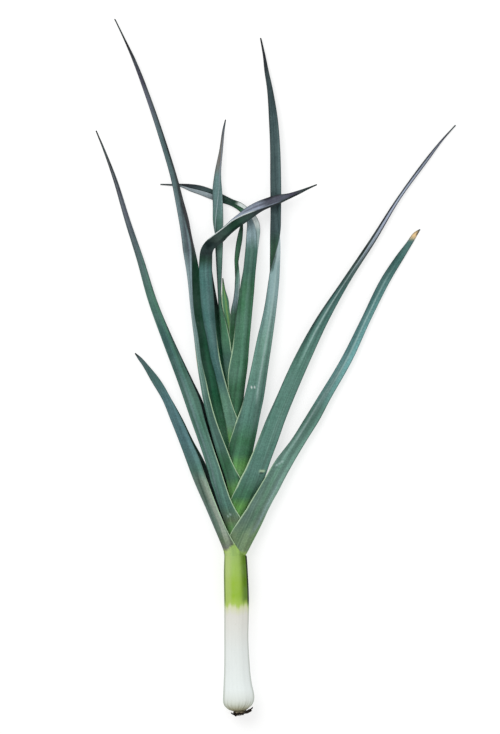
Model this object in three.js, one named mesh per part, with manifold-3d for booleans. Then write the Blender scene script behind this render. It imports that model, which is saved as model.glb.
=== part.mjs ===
// Leek lying on a table: white shank with its bulb, root tuft and eleven keeled leaves fanned out.
// Millimetres. +Y runs from the roots to the leaf tips, +X to the right, +Z up from the table.
import * as THREE from 'three';
import Module from 'manifold-3d';

const wasm = await Module();
wasm.setup();

// Overall dimensions
const SHANK_GREEN = 0xe6eee2;
const ROOT_BROWN = 0x2a211b;
const BLADE = 0.8;
const TIP_BLADE = 0.66;
const KEEL_EXTRA = 0.35;
const ARM_STEPS = 5;
const ROW_STEP = 36;
const ROLLED_STEP = 12.5;
const MARGIN_STEP = 8;
const BUNDLE_X = -0.3;
const NEST_GAP = 1.6;
const COLLAR_Y = -0.9;
const ROOT_COUNT = 26;
const ROOT_RADIUS = 0.95;

// Height of the middle of the leaf bundle above the table, along the leek
function bundleZ(y) {
  return 13 + 2.8 * Math.exp(-Math.max(y, -60) / 120);
}

// Depth of each leaf under the skin of the bundle, outermost leaf first
const LAYER = [0, 1.9, 3.8, 5.6, 7.4, 9.1, 10.7, 12.2, 13.7, 15.15, 16.75];

// Level at which each of these leaves has become the skin of the bundle
const SKIN_LEVEL = [10, 60, 90, 118, 142, 185, 217, 280, 310];

// Value of a rising list at a place between its entries
function listAt(list, place) {
  const i = THREE.MathUtils.clamp(Math.floor(place), 0, list.length - 2);
  return THREE.MathUtils.lerp(list[i], list[i + 1], THREE.MathUtils.clamp(place - i, 0, 1));
}

// Half depth of a rolled leaf at a level: the bundle thins out and its outer leaves leave it
function sheathDepth(order, y) {
  let skin = 0;
  while (skin < SKIN_LEVEL.length - 1 && y > SKIN_LEVEL[skin + 1]) {
    skin += 1;
  }
  const next = Math.min(skin + 1, SKIN_LEVEL.length - 1);
  const span = Math.max(SKIN_LEVEL[next] - SKIN_LEVEL[skin], 1);
  const place = skin + THREE.MathUtils.clamp((y - SKIN_LEVEL[skin]) / span, 0, 1);
  const bundle = Math.max(12.9 - 0.026 * Math.max(y, 0), 5.5);
  return Math.max(bundle - LAYER[order] + listAt(LAYER, place), 0.8);
}

// One station of a leaf with its keel and both margins at the same height up the leek
function level(y, kx, kz, fx, fz, bx, bz) {
  return [kx, y, kz, fx, y, fz, bx, y, bz];
}

// One station inside the bundle, where the sheath rule gives the heights
function rolled(y, kx, fx, bx) {
  const z = bundleZ(y);
  return [kx, y, z, fx, y, z, bx, y, z];
}

// Each leaf: side (-1 left, 1 right), levels where it leaves the bundle, colour,
// and its stations as keel, front margin and back margin points
const LEAVES = [
  {
    name: 'leaf_left_1', side: -1, leave: [14, 40], color: 0x5c7f72,
    rows: [
      rolled(-0.4, -13.6, 11.2, 7.6),
      rolled(1, -13.8, 8.8, 7),
      rolled(3, -14.1, 6.5, 6),
      rolled(6, -14.8, 4.2, 4.6),
      rolled(10, -16.2, 1, 2.4),
      level(17, -19.1, 15.2, -3.4, 27.4, -1, 4.4),
      level(30, -24.5, 14.8, -10.6, 24.6, -8.8, 6.6),
      level(54, -34.6, 13.6, -21, 20.2, -16.4, 6.4),
      level(90, -50.4, 11.8, -34.8, 16.2, -28.6, 4.4),
      level(102, -55, 11.2, -39, 15.3, -33.2, 3.8),
      level(114, -59.4, 10.5, -43.2, 14.4, -38.8, 3.4),
      level(138, -68.4, 9, -54, 12.4, -52, 2.8),
      level(162, -78, 7.6, -64.8, 10.4, -63.6, 2.2),
      level(186, -87.8, 6.2, -77, 8.6, -77, 1.8),
      level(210, -102, 4.8, -91.2, 6.6, -92, 1.5),
      level(228, -112.3, 3.6, -106, 4.6, -107.4, 1.6),
      [-117.6, 235.4, 2.6, -114, 236.6, 2.8, -115.2, 235.4, 1.8],
      [-121.4, 241.8, 2, -121.1, 242.3, 2, -121.9, 241.4, 2],
    ],
  },
  {
    name: 'leaf_right_1', side: 1, leave: [50, 100], rest: [200, 370], color: 0x5c8172,
    rows: [
      rolled(-0.4, 11.1, -6.6, -6),
      rolled(6, 14.6, -6.8, -5),
      rolled(18, 20.8, -7.4, -2),
      rolled(25.2, 24.6, -6.6, 0),
      rolled(35, 29.5, -1.2, 3.4),
      rolled(45, 34.2, 5.2, 8.4),
      rolled(54, 38.2, 11.4, 13.2),
      level(66, 44.4, 14.6, 18.4, 22.5, 19.4, 8),
      level(78, 51, 14, 25.8, 21, 26.6, 6.8),
      level(90, 57, 13.3, 33, 19.6, 33.6, 5.8),
      level(114, 70.2, 12, 47.6, 17, 48.2, 4.4),
      level(138, 84.6, 10.8, 66, 15, 66.6, 3.8),
      level(162, 99.6, 9.8, 81.2, 13.4, 82, 3.4),
      level(186, 112.2, 8.8, 96, 12, 96.8, 3),
      level(234, 139.2, 7, 125.2, 9.6, 126, 2.4),
      level(282, 161.2, 5.4, 149.6, 7.6, 150.4, 2),
      level(330, 185.4, 4, 173.4, 5.8, 174.5, 1.6),
      level(358, 202.2, 3, 192, 4.4, 193, 1.4),
      level(377, 213.4, 2.2, 206.6, 3, 207.4, 1.2),
      [217.4, 384, 1.7, 213.6, 386.4, 1.9, 214.2, 386, 1.1],
      [221.4, 390.6, 1.2, 221, 391, 1.2, 221.8, 390.2, 1.2],
    ],
  },
  {
    name: 'leaf_left_2', side: -1, leave: [70, 110], rest: [280, 450], color: 0x5a7f76,
    rows: [
      rolled(14, -10.4, 6.6, 5),
      rolled(30, -11.2, 7, 4.4),
      rolled(37, -12.8, 7.2, 3),
      rolled(45.6, -15.4, 5.2, 0.6),
      rolled(54, -18.4, 0, -2),
      rolled(66, -22.4, -6, -5),
      rolled(78, -26.2, -10.4, -8),
      level(90, -30, 14.6, -14.4, 21, -10.6, 7.2),
      level(102, -33.2, 14.2, -18.2, 20, -14.2, 6.4),
      level(138, -45, 12.8, -30.2, 17.8, -25.4, 4.8),
      level(162, -53.6, 11.8, -37.2, 16.4, -32.4, 4),
      level(186, -61.8, 10.8, -43.8, 15, -40.6, 3.4),
      level(210, -70.2, 9.8, -54, 13.6, -52.2, 3),
      level(258, -88.3, 7.8, -75.6, 10.8, -75, 2.4),
      level(306, -105.4, 6, -95, 8.2, -95.3, 2),
      level(354, -118.6, 4.6, -110.4, 6, -111.3, 1.6),
      level(402, -133.4, 3.2, -127.2, 4, -128.6, 1.2),
      level(450, -147.1, 2.2, -143, 2.7, -144.6, 1),
      level(486, -159.4, 1.6, -157.5, 1.8, -159, 0.9),
      [-168.4, 509.4, 1.2, -167.9, 509.6, 1.2, -168.9, 509.2, 1.2],
    ],
  },
  {
    name: 'leaf_right_2', side: 1, leave: [100, 140], color: 0x5b8276,
    rows: [
      rolled(30, 8.6, -5.6, -4),
      rolled(42, 12.2, -6.4, -4),
      rolled(54, 17, -7, -3.6),
      rolled(63, 21.3, -7, -2.6),
      rolled(70, 24.5, -4.8, -0.6),
      rolled(81.6, 29.6, 0.6, 3.8),
      rolled(92.4, 34, 5.4, 8),
      rolled(102, 37.4, 10.6, 12.4),
      level(114, 41.4, 14.6, 16, 22.5, 17.4, 7.2),
      level(138, 50.2, 14, 26.4, 21, 28, 6),
      level(162, 58.6, 13.3, 36, 19.5, 37.5, 5.2),
      level(186, 68.2, 12.5, 46.8, 18, 48.4, 4.6),
      level(234, 88.8, 10.8, 68.6, 15, 70, 3.6),
      level(282, 111, 9.2, 95, 12.8, 96.2, 3),
      level(330, 137.4, 7.6, 127.6, 10.4, 128.4, 2.8),
      level(378, 168, 6, 160.2, 7.8, 161, 2.6),
      level(426, 196.2, 4.4, 191.5, 5.6, 192.2, 2.2),
      level(474, 231, 2.8, 226.6, 3.4, 227.6, 1.6),
      level(498, 248.6, 2, 246.4, 2.2, 247.4, 1.3),
      [263.9, 515.9, 1.4, 263.5, 516.3, 1.4, 264.3, 515.5, 1.4],
    ],
  },
  {
    name: 'leaf_left_3', side: -1, leave: [120, 165], color: 0x66817f,
    rows: [
      rolled(46, -7.8, 5.4, 4),
      rolled(66, -8.4, 6, 4),
      rolled(78, -9.4, 7, 3.4),
      rolled(90, -12, 6.6, 2),
      rolled(102, -15.8, 0, -0.6),
      rolled(114, -19.9, -5.6, -3),
      rolled(126, -23.6, -10.4, -5.4),
      level(138, -27, 14, -15.2, 22.5, -8, 6),
      level(162, -33.6, 14, -24, 24, -12, 6.2),
      level(186, -39, 14, -30.8, 24.5, -17, 6.4),
      level(210, -43.2, 14, -36, 25, -22.4, 6.6),
      level(234, -46.9, 14.2, -41.3, 25, -28, 7),
      level(258, -49.6, 14.4, -44.4, 25, -33, 7.4),
      level(294, -54, 14.8, -50.4, 25, -39, 8),
      level(330, -57.6, 15, -52.4, 25, -42.8, 8.6),
      level(348, -60.2, 15, -52.6, 24.5, -45.3, 9),
      level(366, -63.2, 15, -52.9, 23, -49.2, 9.5),
      level(378, -64.6, 14.9, -54.6, 22, -52, 9.6),
      level(390, -66.2, 14.6, -57.4, 21, -54.4, 9.8),
      level(402, -68.2, 14.4, -60.4, 20, -56.6, 10),
      level(426, -72.6, 13.8, -66.2, 18, -63.2, 9.6),
      level(450, -77.4, 12.8, -71, 15.6, -69.6, 9),
      level(498, -91.2, 10.4, -85.6, 12.5, -84.6, 7.5),
      level(546, -106.8, 8, -101.9, 9.6, -101.2, 6),
      level(594, -124.1, 5.6, -120.7, 6.6, -120.3, 4.6),
      level(618, -134.2, 4.3, -132.6, 4.6, -133.2, 3.6),
      [-146, 643.6, 2.8, -145.5, 643.8, 2.8, -146.5, 643.4, 2.8],
    ],
  },
  {
    name: 'leaf_right_3', side: 1, leave: [165, 205], color: 0x6d9487,
    rows: [
      rolled(60, 7.6, -4.8, -3.6),
      rolled(78, 12, -5, -3.6),
      rolled(90, 14.4, -5.2, -3.6),
      rolled(102, 16.2, -6, -3.4),
      rolled(116, 18.4, -7.4, -3),
      rolled(129.6, 21, -8.6, -2),
      rolled(138, 22.8, -6.8, -0.6),
      rolled(150, 25.2, -3, 2),
      rolled(162, 27.5, 0.6, 5.2),
      rolled(174, 29.9, 5.2, 9),
      level(186, 32.4, 13.8, 8.8, 20.6, 12, 7.8),
      level(198, 34.3, 13.8, 12, 20.6, 15, 7.6),
      level(222, 37.7, 13.8, 17.5, 20.8, 20, 7),
      level(258, 43, 13.8, 25, 20.8, 27, 6.6),
      level(294, 47.8, 13.8, 33.4, 21, 34.5, 6.6),
      level(330, 51.4, 13.4, 39.1, 21, 40, 7),
      level(342, 52, 13, 41, 21.4, 40.6, 7.4),
      level(354, 52.5, 12.6, 44.6, 22, 40.7, 8.4),
      level(366, 52.8, 12.2, 48.4, 22.4, 40.8, 9.6),
      level(378, 52.6, 11.6, 51.4, 22, 40.8, 10.8),
      level(390, 51.6, 11, 53.3, 20.5, 41, 12),
      level(408, 50.4, 10, 53.8, 18.4, 41.4, 13),
      level(426, 49.2, 9.4, 54.1, 16.6, 41.3, 13.4),
      level(450, 48, 8.8, 54, 15.6, 41.1, 13),
      level(486, 46.8, 7.8, 53, 14, 41, 12),
      level(522, 45, 6.6, 50, 11.5, 39.6, 10),
      level(558, 40.8, 5.4, 43.9, 8.6, 37.4, 7.6),
      level(582, 36.6, 4.6, 38.5, 6.4, 34, 5.8),
      level(600, 33.4, 4, 34.8, 4.8, 32.2, 4.6),
      [29.3, 620.8, 3, 29.9, 620.9, 3.1, 28.7, 620.7, 3.1],
    ],
  },
  {
    name: 'leaf_left_4_kinked', side: -1, leave: [195, 240], color: 0x587a70,
    rows: [
      rolled(100, -5.8, 3.6, 2.8),
      rolled(124, -7, 4, 2.8),
      rolled(138, -8.4, 4.4, 2.6),
      rolled(152, -10.6, 4.4, 2),
      rolled(165.6, -13.2, 1.2, 0.6),
      rolled(174, -15, -2.2, -1),
      rolled(186, -17.4, -6.2, -3.4),
      rolled(198, -20, -9.8, -6),
      level(210, -23, 13.6, -13.2, 19.6, -8.5, 7),
      level(222, -26, 13.6, -16.3, 19.6, -11, 6.4),
      level(234, -29.4, 13.6, -19, 19.8, -13, 5.8),
      level(258, -34.3, 14, -22.4, 20, -16, 5.2),
      level(282, -39.2, 14.4, -24.6, 20.2, -18, 5),
      level(306, -42, 15, -26.2, 20.6, -22.6, 5),
      level(324, -43.2, 15.6, -27.6, 21, -26, 5.6),
      level(342, -44, 16.4, -28.6, 21.4, -28.8, 7),
      level(354, -43.5, 17.4, -28.4, 21.8, -29.8, 8.4),
      [-42.2, 364.8, 18.6, -28, 362.4, 22, -30.5, 362, 9.8],
      [-39.6, 370.8, 20.5, -26.4, 366.6, 22.2, -31, 366.6, 10.6],
      [-35.4, 376.2, 22.6, -23.4, 369.6, 22.4, -30.6, 372.6, 11.6],
      [-30, 381.2, 24.8, -19.2, 372.6, 22.6, -28.6, 380, 13],
      [-22.8, 386.4, 27, -14.4, 376.4, 22.8, -23.2, 387, 15.6],
      [-14.4, 392.8, 28.4, -7.8, 383.4, 23, -14.9, 393.5, 17],
      [-4.8, 400.4, 29, 1.2, 391.2, 23.4, -5.8, 402, 18.4],
      [4.8, 405.6, 29.4, 9.6, 397.2, 23.8, 3, 409, 19.4],
      [16.8, 410.4, 29.4, 20.4, 404.9, 24.4, 13.5, 417.4, 20.4],
      [28.8, 414.6, 28.6, 31, 412.3, 24.8, 25.8, 424, 20.8],
      [40.8, 419, 27.2, 41.6, 417.4, 24.2, 38.4, 428.7, 21],
      [51.6, 422.9, 25.4, 52.2, 421.7, 23, 49.2, 432, 20.8],
      [62.4, 427.9, 22.6, 62.9, 427, 21, 61.2, 433.4, 19.8],
      [74.4, 433.7, 19, 74.9, 432.8, 18, 73.6, 436.9, 17.6],
      [86, 439.6, 14.8, 86.3, 438.9, 14.4, 85.7, 441, 14.2],
      [97, 444.7, 10.4, 97.2, 444.2, 10.4, 96.8, 445.2, 10.4],
    ],
  },
  {
    name: 'leaf_right_4_arched', side: 1, leave: [262, 310], color: 0x659181,
    rows: [
      rolled(135, 4.6, -3.4, -2.6),
      rolled(150, 5.2, -4, -2.8),
      rolled(165, 6.2, -4.6, -3),
      rolled(180, 8, -6.4, -3.2),
      rolled(198, 10, -8.8, -3.6),
      rolled(208, 11.2, -9.6, -3.4),
      rolled(220, 12.8, -9, -2.8),
      rolled(232, 14.2, -7.2, -1.6),
      rolled(244, 15, -4.8, 0),
      rolled(258, 16.1, -3, 2),
      level(282, 18.2, 13.3, -0.5, 18.6, 5.6, 7.8),
      level(306, 20.3, 13.4, 2.6, 18, 10, 8),
      level(318, 21.4, 13.4, 4.4, 17.6, 14, 7.2),
      level(330, 22.3, 13.5, 6.4, 17, 18, 6.6),
      level(342, 23.3, 13.7, 8.6, 16, 21.4, 6),
      level(354, 24.5, 14, 9.9, 15, 24.4, 5.6),
      level(366, 25.3, 14.4, 11.1, 13.8, 26.2, 5.6),
      level(378, 25, 15, 12, 12.4, 27.7, 6.6),
      level(389, 24.2, 15.4, 12.8, 11, 28.9, 7.6),
      [22.8, 396, 15.2, 13.4, 396, 10, 28.2, 397.4, 8.4],
      [19.6, 402.8, 14.4, 12.6, 401.6, 9, 25, 405, 8.8],
      [15, 409, 13, 10.8, 406.4, 8.4, 19.6, 412.4, 8.8],
      [9.6, 414.4, 11.4, 7, 410, 7.2, 13.4, 417.6, 8],
      [3.4, 418.2, 9.4, 1.6, 414.6, 5.8, 6, 423, 6.4],
      [-4.4, 422.2, 7.4, -6, 419.2, 4.4, -3.2, 426.6, 4.8],
      [-15.7, 427.4, 5.4, -16.6, 422.8, 3, -15, 432.5, 3.2],
      [-30, 434.2, 4.2, -31.2, 427.8, 2, -29, 439.2, 2.2],
      [-43.2, 438.2, 3.4, -44, 433, 1.6, -42.8, 443.7, 1.8],
      [-55.2, 441, 2.7, -55.8, 437.4, 1.4, -55, 445.4, 1.6],
      [-66, 443.8, 2.2, -66, 442.1, 1.4, -66, 445.7, 1.5],
      [-78, 444.6, 1.7, -78, 443.7, 1.2, -78, 445.5, 1.3],
      [-91, 445.2, 1.2, -91, 444.7, 1.2, -91, 445.7, 1.2],
    ],
  },
  {
    name: 'leaf_left_5', side: -1, leave: [240, 275], color: 0x64857c,
    rows: [
      rolled(165, -5.4, 2, 1.6),
      rolled(180, -7.6, 2, 1.6),
      rolled(198, -10, 2.2, 1.4),
      rolled(210, -11.6, 2.2, 1.2),
      rolled(222, -13.2, 1, 0.4),
      rolled(234, -14.8, -2.4, -1.6),
      rolled(246, -16.2, -5.6, -4.4),
      level(258, -17.4, 13, -7.2, 17.2, -7, 9.2),
      level(270, -18.6, 12.4, -9.8, 16.2, -9.8, 8.6),
      level(282, -19.8, 12, -12.6, 15, -12.8, 8.4),
      level(294, -20.4, 11.6, -15.8, 14, -16.4, 8.4),
      level(306, -21, 11.2, -17.8, 13.4, -18.2, 8.2),
      level(330, -22.2, 10.8, -17.3, 13, -18.2, 8),
      level(354, -23.6, 10.6, -16.3, 12.8, -17, 8),
      level(378, -24.8, 10.6, -15.5, 12.6, -23.4, 8),
      level(399, -25, 11.2, -15.2, 12, -27.4, 7.8),
      level(420, -23, 12.2, -15.6, 10.6, -27.8, 8.8),
      level(438, -21, 12.6, -16.8, 9.8, -28.2, 9.2),
      level(450, -19.8, 12.4, -18, 8.8, -26.9, 9.4),
      level(462, -18.8, 12, -18.2, 8.4, -25, 9.4),
      level(486, -16.7, 10.6, -16.3, 8.4, -20, 9.2),
      level(510, -14.7, 9, -14.2, 8.2, -16.4, 8.4),
      [-12.8, 522.6, 7.8, -12.3, 522.7, 7.8, -13.3, 522.5, 7.8],
    ],
  },
  {
    name: 'leaf_right_5', side: 1, leave: [262, 300], color: 0x4a7a60,
    rows: [
      rolled(190, 2.2, -4.2, -3),
      rolled(210, 2.4, -5.4, -3),
      rolled(230, 2.6, -7.2, -3),
      rolled(246, 2.8, -8.4, -3),
      rolled(258, 3, -9, -2.8),
      rolled(270, 3.2, -8.4, -2.4),
      level(282, 3.3, 13.2, -7.2, 16.2, -2.4, 10),
      level(294, 3.5, 13, -6, 15.8, -2.2, 9.8),
      level(306, 3.5, 12.8, -3.4, 15.4, -1.6, 9.6),
      level(318, 3.8, 12.5, -1.8, 15, -0.6, 9.6),
      level(330, 4.3, 12.2, -1.2, 14.6, -1, 9.6),
      level(342, 3.4, 11.6, 0.6, 14.2, -1.4, 9.8),
      level(354, 2.6, 11, 3, 13.6, -1.9, 10.2),
      level(366, 4.2, 10.8, 5, 13.2, -1, 10.6),
      level(378, 6.2, 10.8, 7, 12.8, 0.8, 10.8),
      level(390, 7.4, 11, 7.9, 12.2, 3.6, 11.2),
      [7.4, 400.6, 11.6, 7.9, 400.7, 11.6, 6.9, 400.5, 11.6],
    ],
  },
  {
    name: 'leaf_left_6_young', side: -1, leave: [250, 285], color: 0x7fb36a,
    rows: [
      rolled(215, -5.6, 0.8, 0.8),
      rolled(230, -7.6, 0.4, 0.4),
      rolled(246, -9.6, -0.6, -0.6),
      rolled(258, -10.8, -2, -2),
      level(270, -12.6, 12.6, -3.6, 14.6, -4, 11.6),
      level(282, -14.2, 12.4, -5.4, 14.3, -6, 11.4),
      level(294, -16, 12.1, -7.6, 14, -9, 11.1),
      level(306, -17.4, 11.8, -9, 13.6, -11, 10.8),
      level(318, -16.6, 12.2, -13, 13.2, -13.6, 11.2),
      [-16.2, 332, 12.6, -15.7, 332.1, 12.6, -16.7, 331.9, 12.6],
    ],
  },
];

// Keel reach of a leaf from the middle of the bundle at a level, read off its stations
function keelReach(order, y) {
  const rows = LEAVES[order].rows;
  let x = rows[0][0];
  for (let i = 1; i < rows.length && rows[i][1] > rows[i - 1][1]; i++) {
    const t = THREE.MathUtils.clamp((y - rows[i - 1][1]) / (rows[i][1] - rows[i - 1][1]), 0, 1);
    x = THREE.MathUtils.lerp(rows[i - 1][0], rows[i][0], t);
    if (t < 1) {
      break;
    }
  }
  return Math.abs(x - BUNDLE_X);
}

// Reach of a rolled sheath on its keel side and on its open side
function sheathReach(order, y, keelSide) {
  if (keelSide) {
    return keelReach(order, y);
  }
  return order + 1 < LEAVES.length ? keelReach(order + 1, y) + NEST_GAP : 3;
}

function sheathHeight(order, x, y) {
  const d = LEAVES[order].side * (x - BUNDLE_X);
  const reach = sheathReach(order, y, d > 0);
  const round = THREE.MathUtils.lerp(0.5, 0.88, THREE.MathUtils.smoothstep(y, -1, 40));
  return sheathDepth(order, y) * Math.pow(Math.max(0, 1 - (d / reach) ** 2), round);
}

// Smooth curve value between stations b and c, with knots at distances s
function hermite(a, b, c, d, s, t) {
  const h = s[2] - s[1];
  const m1 = ((c - b) / h + (s[1] > s[0] ? (b - a) / (s[1] - s[0]) : (c - b) / h)) / 2;
  const m2 = ((c - b) / h + (s[3] > s[2] ? (d - c) / (s[3] - s[2]) : (c - b) / h)) / 2;
  const t2 = t * t;
  const t3 = t2 * t;
  return (2 * t3 - 3 * t2 + 1) * b + (t3 - 2 * t2 + t) * h * m1
    + (3 * t2 - 2 * t3) * c + (t3 - t2) * h * m2;
}

// Stations plus the in-between rows that keep the steps along the leaf short
function fillRows(rows, leave) {
  const knots = [0];
  for (let i = 1; i < rows.length; i++) {
    const [x, y, z] = rows[i];
    const [fromX, fromY, fromZ] = rows[i - 1];
    const step = Math.hypot(x - fromX, y - fromY, z - fromZ);
    knots.push(knots[i - 1] + step);
  }
  const out = [];
  for (let i = 0; i < rows.length - 1; i++) {
    const before = Math.max(i - 1, 0);
    const after = Math.min(i + 2, rows.length - 1);
    const s = [knots[before], knots[i], knots[i + 1], knots[after]];
    const rolledHere = rows[i][1] < leave[1];
    const keelParts = (knots[i + 1] - knots[i]) / (rolledHere ? ROLLED_STEP : ROW_STEP);
    const swing = Math.abs(rows[i + 1][3] - rows[i][3]);
    const parts = Math.ceil(Math.max(keelParts, rolledHere ? swing / MARGIN_STEP : 0));
    for (let p = 0; p < parts; p++) {
      out.push(rows[i].map((v, c) => (
        hermite(rows[before][c], v, rows[i + 1][c], rows[after][c], s, p / parts))));
    }
  }
  out.push(rows[rows.length - 1]);
  return out;
}

// Middle surface of one half blade, from the keel (0) to the margin (ARM_STEPS), front or back
function armPoints(order, row, front) {
  const leaf = LEAVES[order];
  const [kx, ky, kz] = row;
  const [mx, my, mz] = front ? row.slice(3, 6) : row.slice(6, 9);
  const free = THREE.MathUtils.smoothstep(ky, leaf.leave[0], leaf.leave[1]);
  const reachKeel = sheathReach(order, ky, true);
  const reachOpen = sheathReach(order, ky, false);
  const across = leaf.side * (mx - BUNDLE_X);
  const reach = across > 0 ? reachKeel : reachOpen;
  const full = Math.acos(THREE.MathUtils.clamp(across / reach, -1, 1));
  const points = [];
  for (let j = 0; j <= ARM_STEPS; j++) {
    const t = j / ARM_STEPS;
    const c = Math.cos(full * t);
    const rolledX = BUNDLE_X + leaf.side * c * (c > 0 ? reachKeel : reachOpen);
    const share = Math.pow(t, 1.3);
    const openX = kx + (mx - kx) * share;
    const x = j === 0 ? kx : THREE.MathUtils.lerp(rolledX, openX, free);
    const y = ky + (my - ky) * share;
    const rise = sheathHeight(order, x, y) * (j === 0 ? 0 : 1);
    const rolledZ = bundleZ(y) + (front ? rise : -rise);
    const openZ = kz + (mz - kz) * Math.pow(t, 0.95);
    points.push(new THREE.Vector3(x, y, THREE.MathUtils.lerp(rolledZ, openZ, free)));
  }
  return points;
}

// Closed blade of even thickness round the middle surface
function leafGeometry(order) {
  const rows = fillRows(LEAVES[order].rows, LEAVES[order].leave);
  const grid = rows.map((row) => {
    const back = armPoints(order, row, false).reverse();
    return back.concat(armPoints(order, row, true).slice(1));
  });
  const n = grid.length;
  const m = grid[0].length;
  const at = (i, j) => grid[Math.min(Math.max(i, 0), n - 1)][Math.min(Math.max(j, 0), m - 1)];
  const vertices = [];
  for (const sign of [1, -1]) {
    for (let i = 0; i < n; i++) {
      for (let j = 0; j < m; j++) {
        const along = at(i + 1, j).clone().sub(at(i - 1, j));
        const wide = at(i, j + 1).clone().sub(at(i, j - 1));
        const normal = along.cross(wide).normalize();
        const inRow = i / (n - 1);
        const keel = 1 - Math.abs(j - ARM_STEPS) / ARM_STEPS;
        const open = THREE.MathUtils.smoothstep(grid[i][ARM_STEPS].y, ...LEAVES[order].leave);
        const blade = THREE.MathUtils.lerp(BLADE, TIP_BLADE, inRow ** 3);
        const thick = blade + KEEL_EXTRA * open * keel ** 3 * (1 - inRow ** 4);
        vertices.push(at(i, j).clone().addScaledVector(normal, sign * thick / 2));
      }
    }
  }
  const p = (i, j) => i * m + j;
  const q = (i, j) => n * m + i * m + j;
  const faces = [];
  const quad = (a, b, c, d) => faces.push(a, b, c, a, c, d);
  for (let i = 0; i < n - 1; i++) {
    for (let j = 0; j < m - 1; j++) {
      faces.push(p(i, j), p(i + 1, j), p(i + 1, j + 1), p(i, j), p(i + 1, j + 1), p(i, j + 1));
      faces.push(q(i, j), q(i + 1, j + 1), q(i + 1, j), q(i, j), q(i, j + 1), q(i + 1, j + 1));
    }
    quad(p(i + 1, 0), p(i, 0), q(i, 0), q(i + 1, 0));
    quad(p(i, m - 1), p(i + 1, m - 1), q(i + 1, m - 1), q(i, m - 1));
  }
  for (let j = 0; j < m - 1; j++) {
    quad(p(0, j), p(0, j + 1), q(0, j + 1), q(0, j));
    quad(p(n - 1, j + 1), p(n - 1, j), q(n - 1, j), q(n - 1, j + 1));
  }
  return meshGeometry(vertices, faces);
}

function meshGeometry(vertices, faces) {
  const geometry = new THREE.BufferGeometry();
  const flat = vertices.flatMap((v) => [v.x, v.y, v.z]);
  geometry.setAttribute('position', new THREE.Float32BufferAttribute(flat, 3));
  geometry.setIndex(faces);
  geometry.computeVertexNormals();
  return geometry;
}

// Shank sections from the root plate to the collar, then the rolled core among the leaf bases:
// level, radius, sideways place and height of the middle
const SHANK = [
  [-186.6, 7.2, 2.8, 18.6],
  [-185.6, 9.8, 2.4, 18.6],
  [-183, 13.2, 2.1, 18.6],
  [-180.4, 16, 2.4, 18.5],
  [-177.4, 17.7, 2.8, 18.4],
  [-174, 18.5, 3.2, 18.3],
  [-169, 18.7, 3.4, 18.3],
  [-163, 18.1, 3.1, 18.2],
  [-155, 17, 2.3, 18.1],
  [-142, 15.8, 1.7, 17.9],
  [-126, 15, 1.2, 17.7],
  [-102, 14.4, 0.6, 17.4],
  [-54, 14.8, 0.9, 16.7],
  [-20, 14.3, 0, 16.2],
  [COLLAR_Y, 13.5, -0.5, 15.8],
  [COLLAR_Y + 0.1, 9.2, BUNDLE_X, 15.8],
  [11, 8.6, BUNDLE_X, 15.6],
  [13, 7.6, BUNDLE_X, 15.5],
  [29, 6.1, BUNDLE_X, 15.2],
  [45, 4.4, BUNDLE_X, 14.9],
  [59, 2.8, BUNDLE_X, 14.7],
  [132, 2.6, BUNDLE_X, 13.93],
  [162, 2, BUNDLE_X, 13.73],
  [188, 1.1, BUNDLE_X, 13.58],
];
const SHANK_SIDES = 24;
const FLAT_SPOT = 0.45;

function shankGeometry() {
  const vertices = [];
  for (const [y, radius, x, z] of SHANK) {
    for (let j = 0; j < SHANK_SIDES; j++) {
      const a = (j + 0.5) * 2 * Math.PI / SHANK_SIDES;
      const height = z + radius * Math.cos(a);
      const low = height < FLAT_SPOT ? 0 : height;
      vertices.push(new THREE.Vector3(x + radius * Math.sin(a), y, low));
    }
  }
  const faces = [];
  for (let i = 0; i < SHANK.length - 1; i++) {
    for (let j = 0; j < SHANK_SIDES; j++) {
      const k = (j + 1) % SHANK_SIDES;
      const a = i * SHANK_SIDES + j;
      const b = i * SHANK_SIDES + k;
      faces.push(a, b, b + SHANK_SIDES, a, b + SHANK_SIDES, a + SHANK_SIDES);
    }
  }
  for (const [i, turn] of [[0, false], [SHANK.length - 1, true]]) {
    const [y, , x, z] = SHANK[i];
    const centre = vertices.push(new THREE.Vector3(x, y, z)) - 1;
    for (let j = 0; j < SHANK_SIDES; j++) {
      const a = i * SHANK_SIDES + j;
      const b = i * SHANK_SIDES + (j + 1) % SHANK_SIDES;
      faces.push(...(turn ? [centre, a, b] : [centre, b, a]));
    }
  }
  return meshGeometry(vertices, faces);
}

// Seeded draws, the same at every run
let seed = 9241;
function draw() {
  seed = (seed * 16807) % 2147483647;
  return seed / 2147483647;
}

function toSolid(geometry) {
  return new wasm.Manifold(new wasm.Mesh({
    numProp: 3,
    vertProperties: new Float32Array(geometry.attributes.position.array),
    triVerts: new Uint32Array(geometry.index.array),
  }));
}

function toGeometry(solid) {
  const mesh = solid.getMesh();
  const geometry = new THREE.BufferGeometry();
  geometry.setAttribute('position', new THREE.BufferAttribute(new Float32Array(mesh.vertProperties), 3));
  geometry.setIndex(new THREE.BufferAttribute(new Uint32Array(mesh.triVerts), 1));
  geometry.computeVertexNormals();
  return geometry;
}

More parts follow.
